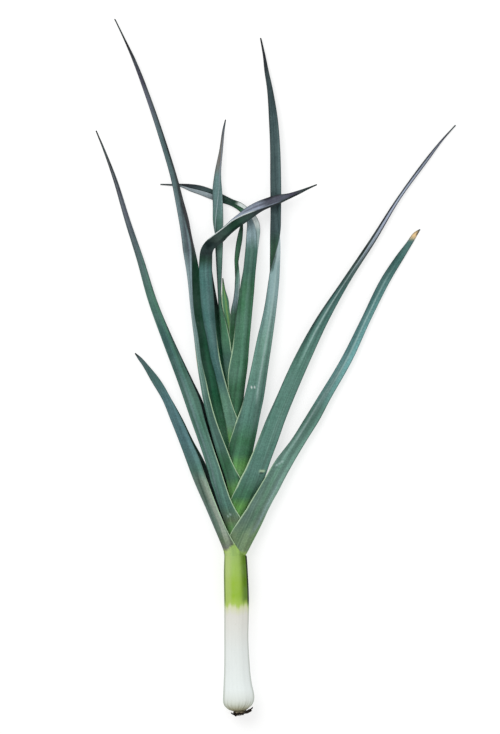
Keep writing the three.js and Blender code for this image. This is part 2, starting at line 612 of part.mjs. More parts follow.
// Closed tapering rod of few sides through a list of points with their radii
function rodGeometry(points, radii, sides) {
  const vertices = [];
  const last = points.length - 1;
  for (let i = 0; i <= last; i++) {
    const dir = points[Math.min(i + 1, last)].clone().sub(points[Math.max(i - 1, 0)]).normalize();
    const side = new THREE.Vector3(0, 0, 1).cross(dir).normalize();
    const up = dir.clone().cross(side);
    for (let j = 0; j < sides; j++) {
      const a = j * 2 * Math.PI / sides;
      vertices.push(points[i].clone().addScaledVector(side, radii[i] * Math.cos(a))
        .addScaledVector(up, radii[i] * Math.sin(a)));
    }
  }
  const faces = [];
  for (let i = 0; i < last; i++) {
    for (let j = 0; j < sides; j++) {
      const a = i * sides + j;
      const b = i * sides + (j + 1) % sides;
      faces.push(a, b, b + sides, a, b + sides, a + sides);
    }
  }
  for (let j = 1; j < sides - 1; j++) {
    faces.push(0, j + 1, j, last * sides, last * sides + j, last * sides + j + 1);
  }
  return meshGeometry(vertices, faces);
}

// Trimmed root tuft: a plate under the bulb with short curved roots that spread from it
const PLATE = new THREE.Vector3(3.6, -189.7, 18.6);
const TUFT_DIR = new THREE.Vector3(0.23, -0.97, 0).normalize();
const TUFT_SPREAD = 14;
const TUFT_SHIFT = 4.4;

function rootGeometry() {
  const plate = [0, 1.1, 2.2].map((d) => new THREE.Vector3(PLATE.x, PLATE.y + 1.85 - d, PLATE.z));
  let solid = toSolid(rodGeometry(plate, [6.4, 7.4, 5.4], 12));
  const across = new THREE.Vector3(-TUFT_DIR.y, TUFT_DIR.x, 0);
  const up = new THREE.Vector3(0, 0, 1);
  for (let i = 0; i < ROOT_COUNT; i++) {
    const ring = Math.sqrt((i + 0.5) / ROOT_COUNT);
    const angle = i * 2.39996 + 0.3 * draw();
    const start = PLATE.clone().addScaledVector(across, 4.6 * ring * Math.cos(angle))
      .addScaledVector(up, 4.6 * ring * Math.sin(angle)).addScaledVector(TUFT_DIR, -0.3);
    const spread = TUFT_SPREAD * ring * (0.9 + 0.18 * draw());
    const drop = 1.4 - 3.6 * ring * ring + 1.1 * draw();
    const end = PLATE.clone().addScaledVector(across, TUFT_SHIFT * ring + spread * Math.cos(angle))
      .addScaledVector(up, 0.85 * spread * Math.sin(angle)).addScaledVector(TUFT_DIR, drop);
    const knee = start.clone().lerp(end, 0.55).addScaledVector(TUFT_DIR, 1.1 + 0.5 * draw());
    const size = ROOT_RADIUS * (0.8 + 0.4 * draw());
    solid = solid.add(toSolid(rodGeometry([start, knee, end], [size, size, size * 0.85], 5)));
  }
  return toGeometry(solid);
}

function part(name, geometry, color, roughness) {
  const mesh = new THREE.Mesh(geometry, new THREE.MeshStandardMaterial({ color, roughness, metalness: 0 }));
  mesh.name = name;
  return mesh;
}

// Bends the end of a leaf down until its lowest corner touches the table
function settle(geometry, from, to) {
  const position = geometry.attributes.position;
  let low = Infinity;
  for (let i = 0; i < position.count; i++) {
    low = Math.min(low, position.getZ(i));
  }
  for (let i = 0; i < position.count; i++) {
    const share = THREE.MathUtils.smoothstep(position.getY(i), from, to);
    position.setZ(i, position.getZ(i) - low * share);
  }
  geometry.computeVertexNormals();
  return geometry;
}

const group = new THREE.Group();
group.add(part('shank', shankGeometry(), SHANK_GREEN, 0.42));
group.add(part('root_tuft', rootGeometry(), ROOT_BROWN, 0.9));
LEAVES.forEach((leaf, order) => {
  const blade = leafGeometry(order);
  const settled = leaf.rest ? settle(blade, ...leaf.rest) : blade;
  group.add(part(leaf.name, settled, leaf.color, 0.5));
});

// The origin is the middle of the footprint, on the table
const box = new THREE.Box3().setFromObject(group, true);
const middle = box.getCenter(new THREE.Vector3());
for (const mesh of group.children) {
  mesh.geometry.translate(-middle.x, -middle.y, -box.min.z);
}

export default group;
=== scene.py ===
"""Whole leek on a pale table: shank with its bulb, root tuft and eleven keeled leaves.

Shape formulas work in millimetres, measured from the collar where the leaves leave the shank.
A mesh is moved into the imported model's frame, in metres, when it is made.
"""

import logging
import math
from collections.abc import Iterable
from dataclasses import dataclass
from enum import Enum

import bpy
import numpy as np
from bpy.types import ID, Material, Node, NodeSocket, NodeTree, Object
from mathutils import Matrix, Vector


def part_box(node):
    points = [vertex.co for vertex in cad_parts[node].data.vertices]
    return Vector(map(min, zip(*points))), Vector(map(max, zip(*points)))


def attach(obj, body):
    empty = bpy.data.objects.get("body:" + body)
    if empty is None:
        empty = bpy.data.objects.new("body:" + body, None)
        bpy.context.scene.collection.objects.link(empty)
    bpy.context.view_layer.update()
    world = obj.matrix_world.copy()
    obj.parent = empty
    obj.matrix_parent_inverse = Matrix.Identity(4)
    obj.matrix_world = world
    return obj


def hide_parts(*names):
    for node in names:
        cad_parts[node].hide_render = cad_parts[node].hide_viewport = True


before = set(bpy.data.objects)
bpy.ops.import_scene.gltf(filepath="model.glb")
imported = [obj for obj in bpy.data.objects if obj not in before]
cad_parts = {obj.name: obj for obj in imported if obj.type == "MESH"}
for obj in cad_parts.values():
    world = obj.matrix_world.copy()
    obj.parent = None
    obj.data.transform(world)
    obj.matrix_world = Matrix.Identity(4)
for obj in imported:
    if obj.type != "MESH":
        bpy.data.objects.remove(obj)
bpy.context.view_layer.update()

log = logging.getLogger("leek")

MM = 0.001
CREASE = math.radians(50)
PHOTO_SIZE = (500, 734)
PIXEL = 1.2
COLLAR_PIXEL = (236.0, 555.0)

# The leaf bundle: its middle, its half depth, and how the leaves nest in it.
BUNDLE_X = -0.3
BUNDLE_LOW = 13
BUNDLE_RISE = 2.8
BUNDLE_SINK = 120
BUNDLE_DEPTH = 12.9
BUNDLE_TAPER = 0.026
BUNDLE_LEAST = 5.5
LAYER_LEAST = 0.8
NEST_GAP = 1.6
HEART_REACH = 3.0
LAYER = np.array([0, 1.9, 3.8, 5.6, 7.4, 9.1, 10.7, 12.2, 13.7, 15.15, 16.75])
SKIN_LEVEL = np.array([10, 60, 90, 118, 142, 185, 217, 280, 310])

# The blades: thickness, blunt tip, and the steps of the mesh along and across.
BLADE = 0.8
TIP_BLADE = 0.66
KEEL_EXTRA = 0.35
MARGIN_THINNING = 0.35
TIP_SWELL = 0.5
TIP_RANGE = (0.72, 0.95)
FINE_ROW = 2.4
FINE_ARM = 20

# The shank and the roots.
BULB_X = 3.4
SHANK_FOOT = -186.6
COLLAR_SEAM = 0.52
LIME_FROM = (-62, -52)
GOLDEN_ANGLE = 2.39996


class Tone(Enum):
    """Named plant colours, as display values from 0 to 255."""

    TEAL = (78, 116, 104)
    TEAL_PALE = (106, 144, 130)
    TEAL_DEEP = (60, 96, 92)
    TEAL_GREY = (104, 128, 114)
    SLATE = (72, 92, 94)
    SLATE_PALE = (128, 150, 156)
    GREEN = (56, 102, 72)
    GREEN_DEEP = (40, 86, 52)
    GREEN_FRESH = (88, 138, 70)
    OLIVE = (92, 112, 82)
    LIME = (156, 190, 84)
    MARGIN = (198, 226, 186)
    SAP = (94, 134, 114)
    NIGHT = (8, 24, 23)
    NIGHT_GREEN = (26, 56, 42)
    PURPLE = (72, 72, 86)
    PURPLE_DARK = (32, 27, 36)
    LILAC = (140, 148, 166)
    LILAC_PALE = (166, 178, 184)
    PINK_GREY = (112, 108, 104)
    SEA = (102, 150, 150)
    AZURE = (80, 116, 120)
    HAZE = (98, 127, 126)
    GLAUCOUS = (142, 171, 172)
    FROST = (182, 202, 206)
    FROST_BLUE = (196, 208, 230)
    JADE = (56, 92, 80)
    ASH = (164, 168, 154)
    STEEL = (96, 114, 118)
    UMBER = (86, 82, 86)
    FERN = (66, 118, 86)
    SAGE = (112, 136, 100)
    MIST = (118, 150, 134)
    DUSK = (62, 100, 96)
    PINE = (30, 84, 58)
    MOSS = (44, 56, 50)
    CHALK = (232, 240, 238)
    PALE = (182, 208, 204)
    TAN = (238, 202, 148)
    CHAR = (30, 24, 20)
    # Shank tones of painted light: deeper green with painted shade on the right flank, a painted highlight
    # on the left flank, painted shade along the edges of the green and the white part, and a painted shadow
    # line near the right edge.
    FLANK_GREEN_AND_SHADE = (70, 108, 6)
    FLANK_LIT = (178, 198, 120)
    FLANK_EDGE_SHADE = (84, 112, 40)
    FLANK_SHADOW_LINE = (18, 26, 2)
    SHAFT_EDGE_SHADE = (168, 178, 166)
    # Painted shade in the bulb's grooves.
    GROOVE_SHADE = (96, 90, 58)


Colour = Tone | tuple[float, float, float]


def to_linear(colour: Colour) -> np.ndarray:
    """Display colour to scene-linear colour, by the usual curve with its straight foot.

    Args:
        colour: a named tone, or red, green and blue from 0 to 255.

    Returns:
        Three linear values from 0 to 1.
    """
    c = np.asarray(colour.value if isinstance(colour, Tone) else colour, float) / 255
    return np.where(c <= 0.04045, c / 12.92, ((c + 0.055) / 1.055) ** 2.4)


def smooth_step(x: np.ndarray, low: float, high: float) -> np.ndarray:
    """Smooth rise from 0 at low to 1 at high: 3t^2 - 2t^3."""
    t = np.clip((np.asarray(x, float) - low) / (high - low), 0, 1)
    return t * t * (3 - 2 * t)


def mix(a: np.ndarray, b: np.ndarray, share: np.ndarray) -> np.ndarray:
    """Blend of two colour fields, a where share is 0 and b where it is 1."""
    return a + (b - a) * share[..., None]


def paint(tint: np.ndarray, tone: Tone, share: np.ndarray) -> np.ndarray:
    """Colour field covered by one tone as far as share says."""
    return mix(tint, to_linear(tone), share)


def tone_line(stops: Iterable[tuple[float, Colour]], x: np.ndarray) -> np.ndarray:
    """Colours along a line, blended evenly between the stops that name them.

    Args:
        stops: places on the line with the colour there.
        x: the places where colours are wanted.

    Returns:
        Linear colours, one for every x.
    """
    at, tones = zip(*stops)
    linear = np.array([to_linear(tone) for tone in tones])
    return np.stack([np.interp(x, at, linear[:, k]) for k in range(3)], axis=-1)


def cubic_fill(rows: np.ndarray, knots: np.ndarray, at: np.ndarray) -> tuple[np.ndarray, np.ndarray]:
    """Rows filled in by cubic curves, with slopes that average the spans on both sides.

    Args:
        rows: the known rows.
        knots: the place of each known row along the curve.
        at: the places where rows are wanted.

    Returns:
        The wanted rows, and the place of each one counted in known rows.
    """
    hop = np.diff(knots)
    i = np.clip(np.searchsorted(knots, at, side="right") - 1, 0, len(hop) - 1)
    secant = np.diff(rows, axis=0) / hop[:, None]
    slope = np.vstack([secant[:1], (secant[1:] + secant[:-1]) / 2, secant[-1:]])
    h = hop[i][:, None]
    t = (at - knots[i])[:, None] / h
    filled = ((2 * t**3 - 3 * t**2 + 1) * rows[i] + (t**3 - 2 * t**2 + t) * h * slope[i]
              + (3 * t**2 - 2 * t**3) * rows[i + 1] + (t**3 - t**2) * h * slope[i + 1])
    return filled, i + t[:, 0]


def bundle_z(y: np.ndarray) -> np.ndarray:
    """Height of the bundle's middle over the table: 13 + 2.8 exp(-y / 120), even below level -60."""
    return BUNDLE_LOW + BUNDLE_RISE * np.exp(-np.maximum(y, -60) / BUNDLE_SINK)


def station(row: tuple[float, ...]) -> tuple[float, ...]:
    """Keel, front margin and back margin points of one leaf station.

    Args:
        row: inside the bundle four numbers: the level, then x of the three points, with heights by
            the sheath rule. Above it seven: the level, then x and z of the three. Nine numbers are
            x, y and z of the three already.

    Returns:
        x, y and z of the three points.
    """
    if len(row) == 4:
        y, *places = row
        z = float(bundle_z(np.array(y)))
        return tuple(value for x in places for value in (x, y, z))
    if len(row) == 7:
        y, kx, kz, fx, fz, bx, bz = row
        return kx, y, kz, fx, y, fz, bx, y, bz
    return row


@dataclass(frozen=True)
class Band:
    """A stripe of another tone on a leaf's outer face.

    It runs from one station to another, between two places across: -1 is the back margin, 0 the
    keel and 1 the front margin. Drift is how far it moves across from its start to its end.
    """

    start: float
    end: float
    low: float
    high: float
    tone: Tone
    strength: float
    drift: float = 0.0
    soft: float = 1.0

    def mask(self, place: np.ndarray, across: np.ndarray) -> np.ndarray:
        """Strength of the stripe at every point, with soft ends and edges.

        Args:
            place: each row's place counted in stations.
            across: each column's place across the leaf.

        Returns:
            Values from 0 to the strength, rows by columns.
        """
        ends = smooth_step(place, self.start - self.soft, self.start + self.soft)
        ends = ends * (1 - smooth_step(place, self.end - self.soft, self.end + self.soft))
        shift = self.drift * np.clip((place - self.start) / (self.end - self.start), 0, 1)
        x = across[None, :] - shift[:, None]
        wide = np.ones_like(x)
        if self.low > -1:
            wide = wide * smooth_step(x, self.low - 0.06, self.low + 0.06)
        if self.high < 1:
            wide = wide * (1 - smooth_step(x, self.high - 0.06, self.high + 0.06))
        return self.strength * ends[:, None] * wide


@dataclass(frozen=True)
class Mark:
    """A small scar, or the painted shadow under one, on a leaf's outer face: a soft stroke from one point to
    another.
    """

    start: tuple[float, float]
    end: tuple[float, float]
    radius: float
    tone: Tone
    strength: float

    def mask(self, grid: np.ndarray) -> np.ndarray:
        """Strength of the stroke at every point: it fades with the distance to the segment.

        Args:
            grid: points as rows by columns by 3.

        Returns:
            Values from 0 to the strength, rows by columns.
        """
        start, end = np.array(self.start), np.array(self.end)
        run = end - start
        share = np.clip(((grid[..., :2] - start) @ run) / max(float(run @ run), 1e-9), 0, 1)
        away = np.linalg.norm(grid[..., :2] - start - share[..., None] * run, axis=-1)
        return self.strength * (1 - smooth_step(away, 0.4 * self.radius, 1.6 * self.radius))


def stops(**places: float | tuple[float, ...]) -> tuple[tuple[float, Tone], ...]:
    """Tones along a leaf, put in order.

    Args:
        places: under the name of each tone, the place or places that have it, counted in stations.

    Returns:
        Pairs of a place and its tone.
    """
    pairs = [(float(at), Tone[name]) for name, found in places.items() for at in np.atleast_1d(found)]
    return tuple(sorted(pairs, key=lambda pair: pair[0]))


@dataclass(frozen=True)
class LeafPlan:
    """Course and colours of one leaf.

    Stations are written as the station function reads them. Outer and inner pair a station's number
    with the tone that the leaf's outer and inner face have there; the darkest inner tones are painted
    shade inside the folds. The leaf leaves the bundle between the two levels of leave, its margin turns
    from a pale line to a dark one between those of pale_edge, and between those of settle it comes
    down until its lowest point is on the table.
    """

    name: str
    side: int
    leave: tuple[float, float]
    stations: tuple[tuple[float, ...], ...]
    outer: tuple[tuple[float, Tone], ...]
    inner: tuple[tuple[float, Tone], ...]
    pale_edge: tuple[float, float]
    settle: tuple[float, float] | None = None
    slot: str = "leaves"
    bands: tuple[Band, ...] = ()
    marks: tuple[Mark, ...] = ()

    def rows(self) -> np.ndarray:
        """Stations as rows of nine numbers: keel, front margin and back margin points."""
        return np.array([station(row) for row in self.stations], float)


LEAVES: tuple[LeafPlan, ...] = (
    LeafPlan(
        name="leaf_left_1", side=-1, leave=(14, 40), pale_edge=(70, 120),
        outer=stops(
            LIME=(0, 2.6), PINK_GREY=3.4, OLIVE=5, TEAL_GREY=(6.5, 8), TEAL=9, AZURE=(11, 13), TEAL_DEEP=14,
            SLATE=16, CHAR=17,
        ),
        inner=stops(GREEN_DEEP=0, NIGHT=(6, 9), NIGHT_GREEN=12, TEAL_DEEP=15, PURPLE_DARK=17),
        bands=(
            Band(4.8, 7.9, 0.58, 0.93, Tone.ASH, 0.45),
            Band(6.4, 8.6, 0.2, 0.3, Tone.NIGHT_GREEN, 0.6, 0.3),
            Band(5.5, 8, -0.05, 0.14, Tone.SLATE_PALE, 0.3),
        ),
        stations=(
            (-0.4, -13.6, 11.2, 7.6), (1, -13.8, 8.8, 7), (3, -14.1, 6.5, 6), (6, -14.8, 4.2, 4.6),
            (10, -16.2, 1, 2.4), (17, -19.1, 15.2, -3.4, 27.4, -1, 4.4),
            (30, -24.5, 14.8, -10.6, 24.6, -8.8, 6.6), (54, -34.6, 13.6, -21, 20.2, -16.4, 6.4),
            (90, -50.4, 11.8, -34.8, 16.2, -28.6, 4.4), (102, -55, 11.2, -39, 15.3, -33.2, 3.8),
            (114, -59.4, 10.5, -43.2, 14.4, -38.8, 3.4), (138, -68.4, 9, -54, 12.4, -52, 2.8),
            (162, -78, 7.6, -64.8, 10.4, -63.6, 2.2), (186, -87.8, 6.2, -77, 8.6, -77, 1.8),
            (210, -102, 4.8, -91.2, 6.6, -92, 1.5), (228, -112.3, 3.6, -106, 4.6, -107.4, 1.6),
            (-117.6, 235.4, 2.6, -114, 236.6, 2.8, -115.2, 235.4, 1.8),
            (-121.4, 241.8, 2, -121.1, 242.3, 2, -121.9, 241.4, 2),
        ),
    ),
    LeafPlan(
        name="leaf_right_1", side=1, leave=(50, 100), pale_edge=(95, 125),
        settle=(200, 370),
        outer=stops(
            LIME=0, SAGE=(1, 3), TEAL_GREY=5, MIST=7, TEAL_PALE=10, TEAL=12.5, SEA=14,
            TEAL_DEEP=(16.5, 18.1), TAN=(18.7, 19.4), CHAR=(19.8, 20),
        ),
        inner=stops(GREEN_DEEP=0, NIGHT_GREEN=(7, 12), TEAL_DEEP=(15, 18.2), TAN=18.8, CHAR=20),
        bands=(
            Band(3, 9, 0.3, 0.42, Tone.SLATE_PALE, 0.45),
            Band(2, 10, 0.6, 0.7, Tone.GREEN, 0.4),
            Band(5, 9, 0.82, 0.9, Tone.SLATE_PALE, 0.3),
            Band(1, 5, 0.0, 0.2, Tone.GREEN_FRESH, 0.5),
            Band(3.6, 9, 0.5, 1, Tone.GREEN_DEEP, 0.3),
            Band(10.5, 13.5, 0.68, 0.8, Tone.PALE, 0.4),
            Band(13, 16, 0.5, 0.64, Tone.PALE, 0.4),
            Band(18.9, 19.8, -0.4, 0.45, Tone.CHAR, 0.9, 0, 0.3),
        ),
        marks=(
            Mark((46.8, 106.8), (56.4, 112.8), 0.7, Tone.PALE, 0.6),
            Mark((40, 92), (46, 98), 0.5, Tone.TEAL_PALE, 0.5),
        ),
        stations=(
            (-0.4, 11.1, -6.6, -6), (6, 14.6, -6.8, -5), (18, 20.8, -7.4, -2), (25.2, 24.6, -6.6, 0),
            (35, 29.5, -1.2, 3.4), (45, 34.2, 5.2, 8.4), (54, 38.2, 11.4, 13.2),
            (66, 44.4, 14.6, 18.4, 22.5, 19.4, 8), (78, 51, 14, 25.8, 21, 26.6, 6.8),
            (90, 57, 13.3, 33, 19.6, 33.6, 5.8), (114, 70.2, 12, 47.6, 17, 48.2, 4.4),
            (138, 84.6, 10.8, 66, 15, 66.6, 3.8), (162, 99.6, 9.8, 81.2, 13.4, 82, 3.4),
            (186, 112.2, 8.8, 96, 12, 96.8, 3), (234, 139.2, 7, 125.2, 9.6, 126, 2.4),
            (282, 161.2, 5.4, 149.6, 7.6, 150.4, 2), (330, 185.4, 4, 173.4, 5.8, 174.5, 1.6),
            (358, 202.2, 3, 192, 4.4, 193, 1.4), (377, 213.4, 2.2, 206.6, 3, 207.4, 1.2),
            (217.4, 384, 1.7, 213.6, 386.4, 1.9, 214.2, 386, 1.1),
            (221.4, 390.6, 1.2, 221, 391, 1.2, 221.8, 390.2, 1.2),
        ),
    ),
    LeafPlan(
        name="leaf_left_2", side=-1, leave=(70, 110), pale_edge=(110, 160),
        settle=(280, 450),
        outer=stops(
            GREEN_FRESH=(0, 1.3), OLIVE=2.6, TEAL=(4.5, 9, 11, 14), TEAL_DEEP=13, SLATE=15.2, PURPLE=16.2,
            PURPLE_DARK=17.2, CHAR=19,
        ),
        inner=stops(GREEN_DEEP=0, NIGHT=(7, 12), NIGHT_GREEN=14, TEAL_DEEP=16, PURPLE_DARK=19),
        bands=(
            Band(5, 12, 0.35, 0.5, Tone.SLATE_PALE, 0.35),
            Band(9, 15, 0.7, 0.95, Tone.GREEN, 0.35),
            Band(13, 16, -0.1, 0.15, Tone.TEAL_PALE, 0.2),
            Band(15, 18, 0.3, 0.6, Tone.LILAC_PALE, 0.2),
        ),
        marks=(
            Mark((-9.6, 46.8), (-4.8, 50.4), 0.6, Tone.PALE, 0.6),
            # Painted shadow under the pale nick above.
            Mark((-8.5, 44.8), (-3.8, 48.2), 0.5, Tone.NIGHT_GREEN, 0.4),
        ),
        stations=(
            (14, -10.4, 6.6, 5), (30, -11.2, 7, 4.4), (37, -12.8, 7.2, 3), (45.6, -15.4, 5.2, 0.6),
            (54, -18.4, 0, -2), (66, -22.4, -6, -5), (78, -26.2, -10.4, -8),
            (90, -30, 14.6, -14.4, 21, -10.6, 7.2), (102, -33.2, 14.2, -18.2, 20, -14.2, 6.4),
            (138, -45, 12.8, -30.2, 17.8, -25.4, 4.8), (162, -53.6, 11.8, -37.2, 16.4, -32.4, 4),
            (186, -61.8, 10.8, -43.8, 15, -40.6, 3.4), (210, -70.2, 9.8, -54, 13.6, -52.2, 3),
            (258, -88.3, 7.8, -75.6, 10.8, -75, 2.4), (306, -105.4, 6, -95, 8.2, -95.3, 2),
            (354, -118.6, 4.6, -110.4, 6, -111.3, 1.6), (402, -133.4, 3.2, -127.2, 4, -128.6, 1.2),
            (450, -147.1, 2.2, -143, 2.7, -144.6, 1), (486, -159.4, 1.6, -157.5, 1.8, -159, 0.9),
            (-168.4, 509.4, 1.2, -167.9, 509.6, 1.2, -168.9, 509.2, 1.2),
        ),
    ),
    LeafPlan(
        name="leaf_right_2", side=1, leave=(100, 140), pale_edge=(115, 160),
        outer=stops(
            GREEN_FRESH=(0, 2.6), GREEN=4, TEAL=(6.5, 10, 12), TEAL_DEEP=13.6, MOSS=14.6, PURPLE=(15.5, 18),
            PURPLE_DARK=19,
        ),
        inner=stops(GREEN_DEEP=0, NIGHT_GREEN=(8, 14), NIGHT=12, PURPLE_DARK=(16, 19)),
        bands=(
            Band(12.6, 15.2, 0.84, 1, Tone.NIGHT, 0.7),
            Band(12.4, 15.5, 0.55, 0.66, Tone.PALE, 0.55),
            Band(6, 11, 0.35, 0.5, Tone.TEAL_PALE, 0.4),
            Band(14.8, 17, 0.28, 0.66, Tone.FROST_BLUE, 0.7),
            Band(16.8, 18.6, 0.3, 0.6, Tone.LILAC, 0.3),
            Band(15, 19, 0.75, 1, Tone.PURPLE_DARK, 0.7),
            Band(14.6, 19, -0.1, 0.15, Tone.PURPLE_DARK, 0.7),
        ),
        marks=(
            Mark((26.4, 99.6), (35, 102), 0.8, Tone.MARGIN, 0.85),
            # Painted shadow under the pale nick above.
            Mark((26.4, 97.6), (35, 99.8), 0.6, Tone.NIGHT, 0.75),
            Mark((30, 112), (32, 118), 0.5, Tone.TEAL_PALE, 0.4),
        ),
        stations=(
            (30, 8.6, -5.6, -4), (42, 12.2, -6.4, -4), (54, 17, -7, -3.6), (63, 21.3, -7, -2.6),
            (70, 24.5, -4.8, -0.6), (81.6, 29.6, 0.6, 3.8), (92.4, 34, 5.4, 8), (102, 37.4, 10.6, 12.4),
            (114, 41.4, 14.6, 16, 22.5, 17.4, 7.2), (138, 50.2, 14, 26.4, 21, 28, 6),
            (162, 58.6, 13.3, 36, 19.5, 37.5, 5.2), (186, 68.2, 12.5, 46.8, 18, 48.4, 4.6),
            (234, 88.8, 10.8, 68.6, 15, 70, 3.6), (282, 111, 9.2, 95, 12.8, 96.2, 3),
            (330, 137.4, 7.6, 127.6, 10.4, 128.4, 2.8), (378, 168, 6, 160.2, 7.8, 161, 2.6),
            (426, 196.2, 4.4, 191.5, 5.6, 192.2, 2.2), (474, 231, 2.8, 226.6, 3.4, 227.6, 1.6),
            (498, 248.6, 2, 246.4, 2.2, 247.4, 1.3),
            (263.9, 515.9, 1.4, 263.5, 516.3, 1.4, 264.3, 515.5, 1.4),
        ),
    ),
    LeafPlan(
        name="leaf_left_3", side=-1, leave=(120, 165), pale_edge=(190, 240),
        outer=stops(
            GREEN_FRESH=(0, 2.2), GREEN=(3.2, 5.2), TEAL=(6.4, 9), TEAL_PALE=10.5, SLATE_PALE=(13.5, 14.8),
            STEEL=(16, 19.6), SLATE=(20.6, 22), PURPLE=23, PURPLE_DARK=24.2, CHAR=26,
        ),
        inner=stops(GREEN=(0, 7.4), FERN=5, PINE=(9.4, 15), UMBER=(16.4, 20), PURPLE_DARK=(22, 26)),
        bands=(
            Band(15, 26, -0.15, 0.12, Tone.PURPLE_DARK, 0.6),
            Band(18.5, 26, 0.8, 1, Tone.PURPLE_DARK, 0.5),
            Band(15, 19, 0.62, 0.8, Tone.PURPLE, 0.6),
            Band(10, 15, 0, 0.15, Tone.PINK_GREY, 0.4),
            Band(10.7, 11.4, -0.12, 0.12, Tone.TAN, 0.6, 0, 0.3),
            Band(9, 15, 0.35, 0.5, Tone.PALE, 0.35),
        ),
        stations=(
            (46, -7.8, 5.4, 4), (66, -8.4, 6, 4), (78, -9.4, 7, 3.4), (90, -12, 6.6, 2),
            (102, -15.8, 0, -0.6), (114, -19.9, -5.6, -3), (126, -23.6, -10.4, -5.4),
            (138, -27, 14, -15.2, 22.5, -8, 6), (162, -33.6, 14, -24, 24, -12, 6.2),
            (186, -39, 14, -30.8, 24.5, -17, 6.4), (210, -43.2, 14, -36, 25, -22.4, 6.6),
            (234, -46.9, 14.2, -41.3, 25, -28, 7), (258, -49.6, 14.4, -44.4, 25, -33, 7.4),
            (294, -54, 14.8, -50.4, 25, -39, 8), (330, -57.6, 15, -52.4, 25, -42.8, 8.6),
            (348, -60.2, 15, -52.6, 24.5, -45.3, 9), (366, -63.2, 15, -52.9, 23, -49.2, 9.5),
            (378, -64.6, 14.9, -54.6, 22, -52, 9.6), (390, -66.2, 14.6, -57.4, 21, -54.4, 9.8),
            (402, -68.2, 14.4, -60.4, 20, -56.6, 10), (426, -72.6, 13.8, -66.2, 18, -63.2, 9.6),
            (450, -77.4, 12.8, -71, 15.6, -69.6, 9), (498, -91.2, 10.4, -85.6, 12.5, -84.6, 7.5),
            (546, -106.8, 8, -101.9, 9.6, -101.2, 6), (594, -124.1, 5.6, -120.7, 6.6, -120.3, 4.6),
            (618, -134.2, 4.3, -132.6, 4.6, -133.2, 3.6),
            (-146, 643.6, 2.8, -145.5, 643.8, 2.8, -146.5, 643.4, 2.8),
        ),
    ),
    LeafPlan(
        name="leaf_right_3", side=1, leave=(165, 205), pale_edge=(160, 200),
        outer=stops(
            GREEN_FRESH=(0, 3.2), GREEN=(4.4, 6), TEAL=(8, 11), TEAL_PALE=13, GLAUCOUS=(14.6, 16.4),
            FROST=(17.6, 19.5), SLATE=(21, 26), PURPLE_DARK=(27.5, 29),
        ),
        inner=stops(GREEN_DEEP=(0, 18), NIGHT_GREEN=14, SLATE=(20, 25), PURPLE_DARK=(27.5, 29)),
        bands=(
            Band(7, 12, 0.3, 0.45, Tone.TEAL_PALE, 0.4),
            Band(10, 18, 0.42, 0.52, Tone.PALE, 0.5),
            Band(21, 28, -0.12, 0.12, Tone.NIGHT, 0.5),
            Band(12, 16, 0.05, 0.3, Tone.SLATE, 0.15),
            Band(15.8, 17.7, 0.72, 1, Tone.NIGHT_GREEN, 0.75, 0, 0.4),
            Band(12.6, 15, 0.8, 1, Tone.TEAL_DEEP, 0.5),
        ),
        marks=(
            Mark((18.6, 201.6), (18.7, 201.6), 0.8, Tone.CHALK, 0.9),
            Mark((22.2, 201.6), (22.3, 201.6), 0.8, Tone.CHALK, 0.9),
            Mark((14, 168), (22, 166), 0.5, Tone.GREEN_DEEP, 0.4),
        ),
        stations=(
            (60, 7.6, -4.8, -3.6), (78, 12, -5, -3.6), (90, 14.4, -5.2, -3.6), (102, 16.2, -6, -3.4),
            (116, 18.4, -7.4, -3), (129.6, 21, -8.6, -2), (138, 22.8, -6.8, -0.6), (150, 25.2, -3, 2),
            (162, 27.5, 0.6, 5.2), (174, 29.9, 5.2, 9), (186, 32.4, 13.8, 8.8, 20.6, 12, 7.8),
            (198, 34.3, 13.8, 12, 20.6, 15, 7.6), (222, 37.7, 13.8, 17.5, 20.8, 20, 7),
            (258, 43, 13.8, 25, 20.8, 27, 6.6), (294, 47.8, 13.8, 33.4, 21, 34.5, 6.6),
            (330, 51.4, 13.4, 39.1, 21, 40, 7), (342, 52, 13, 41, 21.4, 40.6, 7.4),
            (354, 52.5, 12.6, 44.6, 22, 40.7, 8.4), (366, 52.8, 12.2, 48.4, 22.4, 40.8, 9.6),
            (378, 52.6, 11.6, 51.4, 22, 40.8, 10.8), (390, 51.6, 11, 53.3, 20.5, 41, 12),
            (408, 50.4, 10, 53.8, 18.4, 41.4, 13), (426, 49.2, 9.4, 54.1, 16.6, 41.3, 13.4),
            (450, 48, 8.8, 54, 15.6, 41.1, 13), (486, 46.8, 7.8, 53, 14, 41, 12),
            (522, 45, 6.6, 50, 11.5, 39.6, 10), (558, 40.8, 5.4, 43.9, 8.6, 37.4, 7.6),
            (582, 36.6, 4.6, 38.5, 6.4, 34, 5.8), (600, 33.4, 4, 34.8, 4.8, 32.2, 4.6),
            (29.3, 620.8, 3, 29.9, 620.9, 3.1, 28.7, 620.7, 3.1),
        ),
    ),
    LeafPlan(
        name="leaf_left_4_kinked", side=-1, leave=(195, 240), pale_edge=(230, 280),
        # From station 16 to 24 the dark tones are painted shade: on the kink, and on the lower half of the
        # folded blade, which faces away from the light.
        outer=stops(
            GREEN_FRESH=(0, 2.2), SAP=(3.4, 6.2), TEAL_DEEP=8, DUSK=(10, 12, 15),
            NIGHT_GREEN=(15.9, 22.5, 24), NIGHT=(16.7, 19), MOSS=20.5, PURPLE_DARK=(26, 30), CHAR=32,
        ),
        inner=stops(GREEN_DEEP=0, PINE=(9, 11.6), NIGHT=(12.8, 16), NIGHT_GREEN=20, PURPLE_DARK=30, CHAR=32),
        bands=(
            # The lilac back half is lilac skin painted lighter where it faces the light; the near-black
            # stripes on the front half are painted shade, and the pale line along the keel is a painted
            # highlight on its ridge.
            Band(22.6, 26.5, -1, -0.1, Tone.LILAC, 0.9, 0, 0.6),
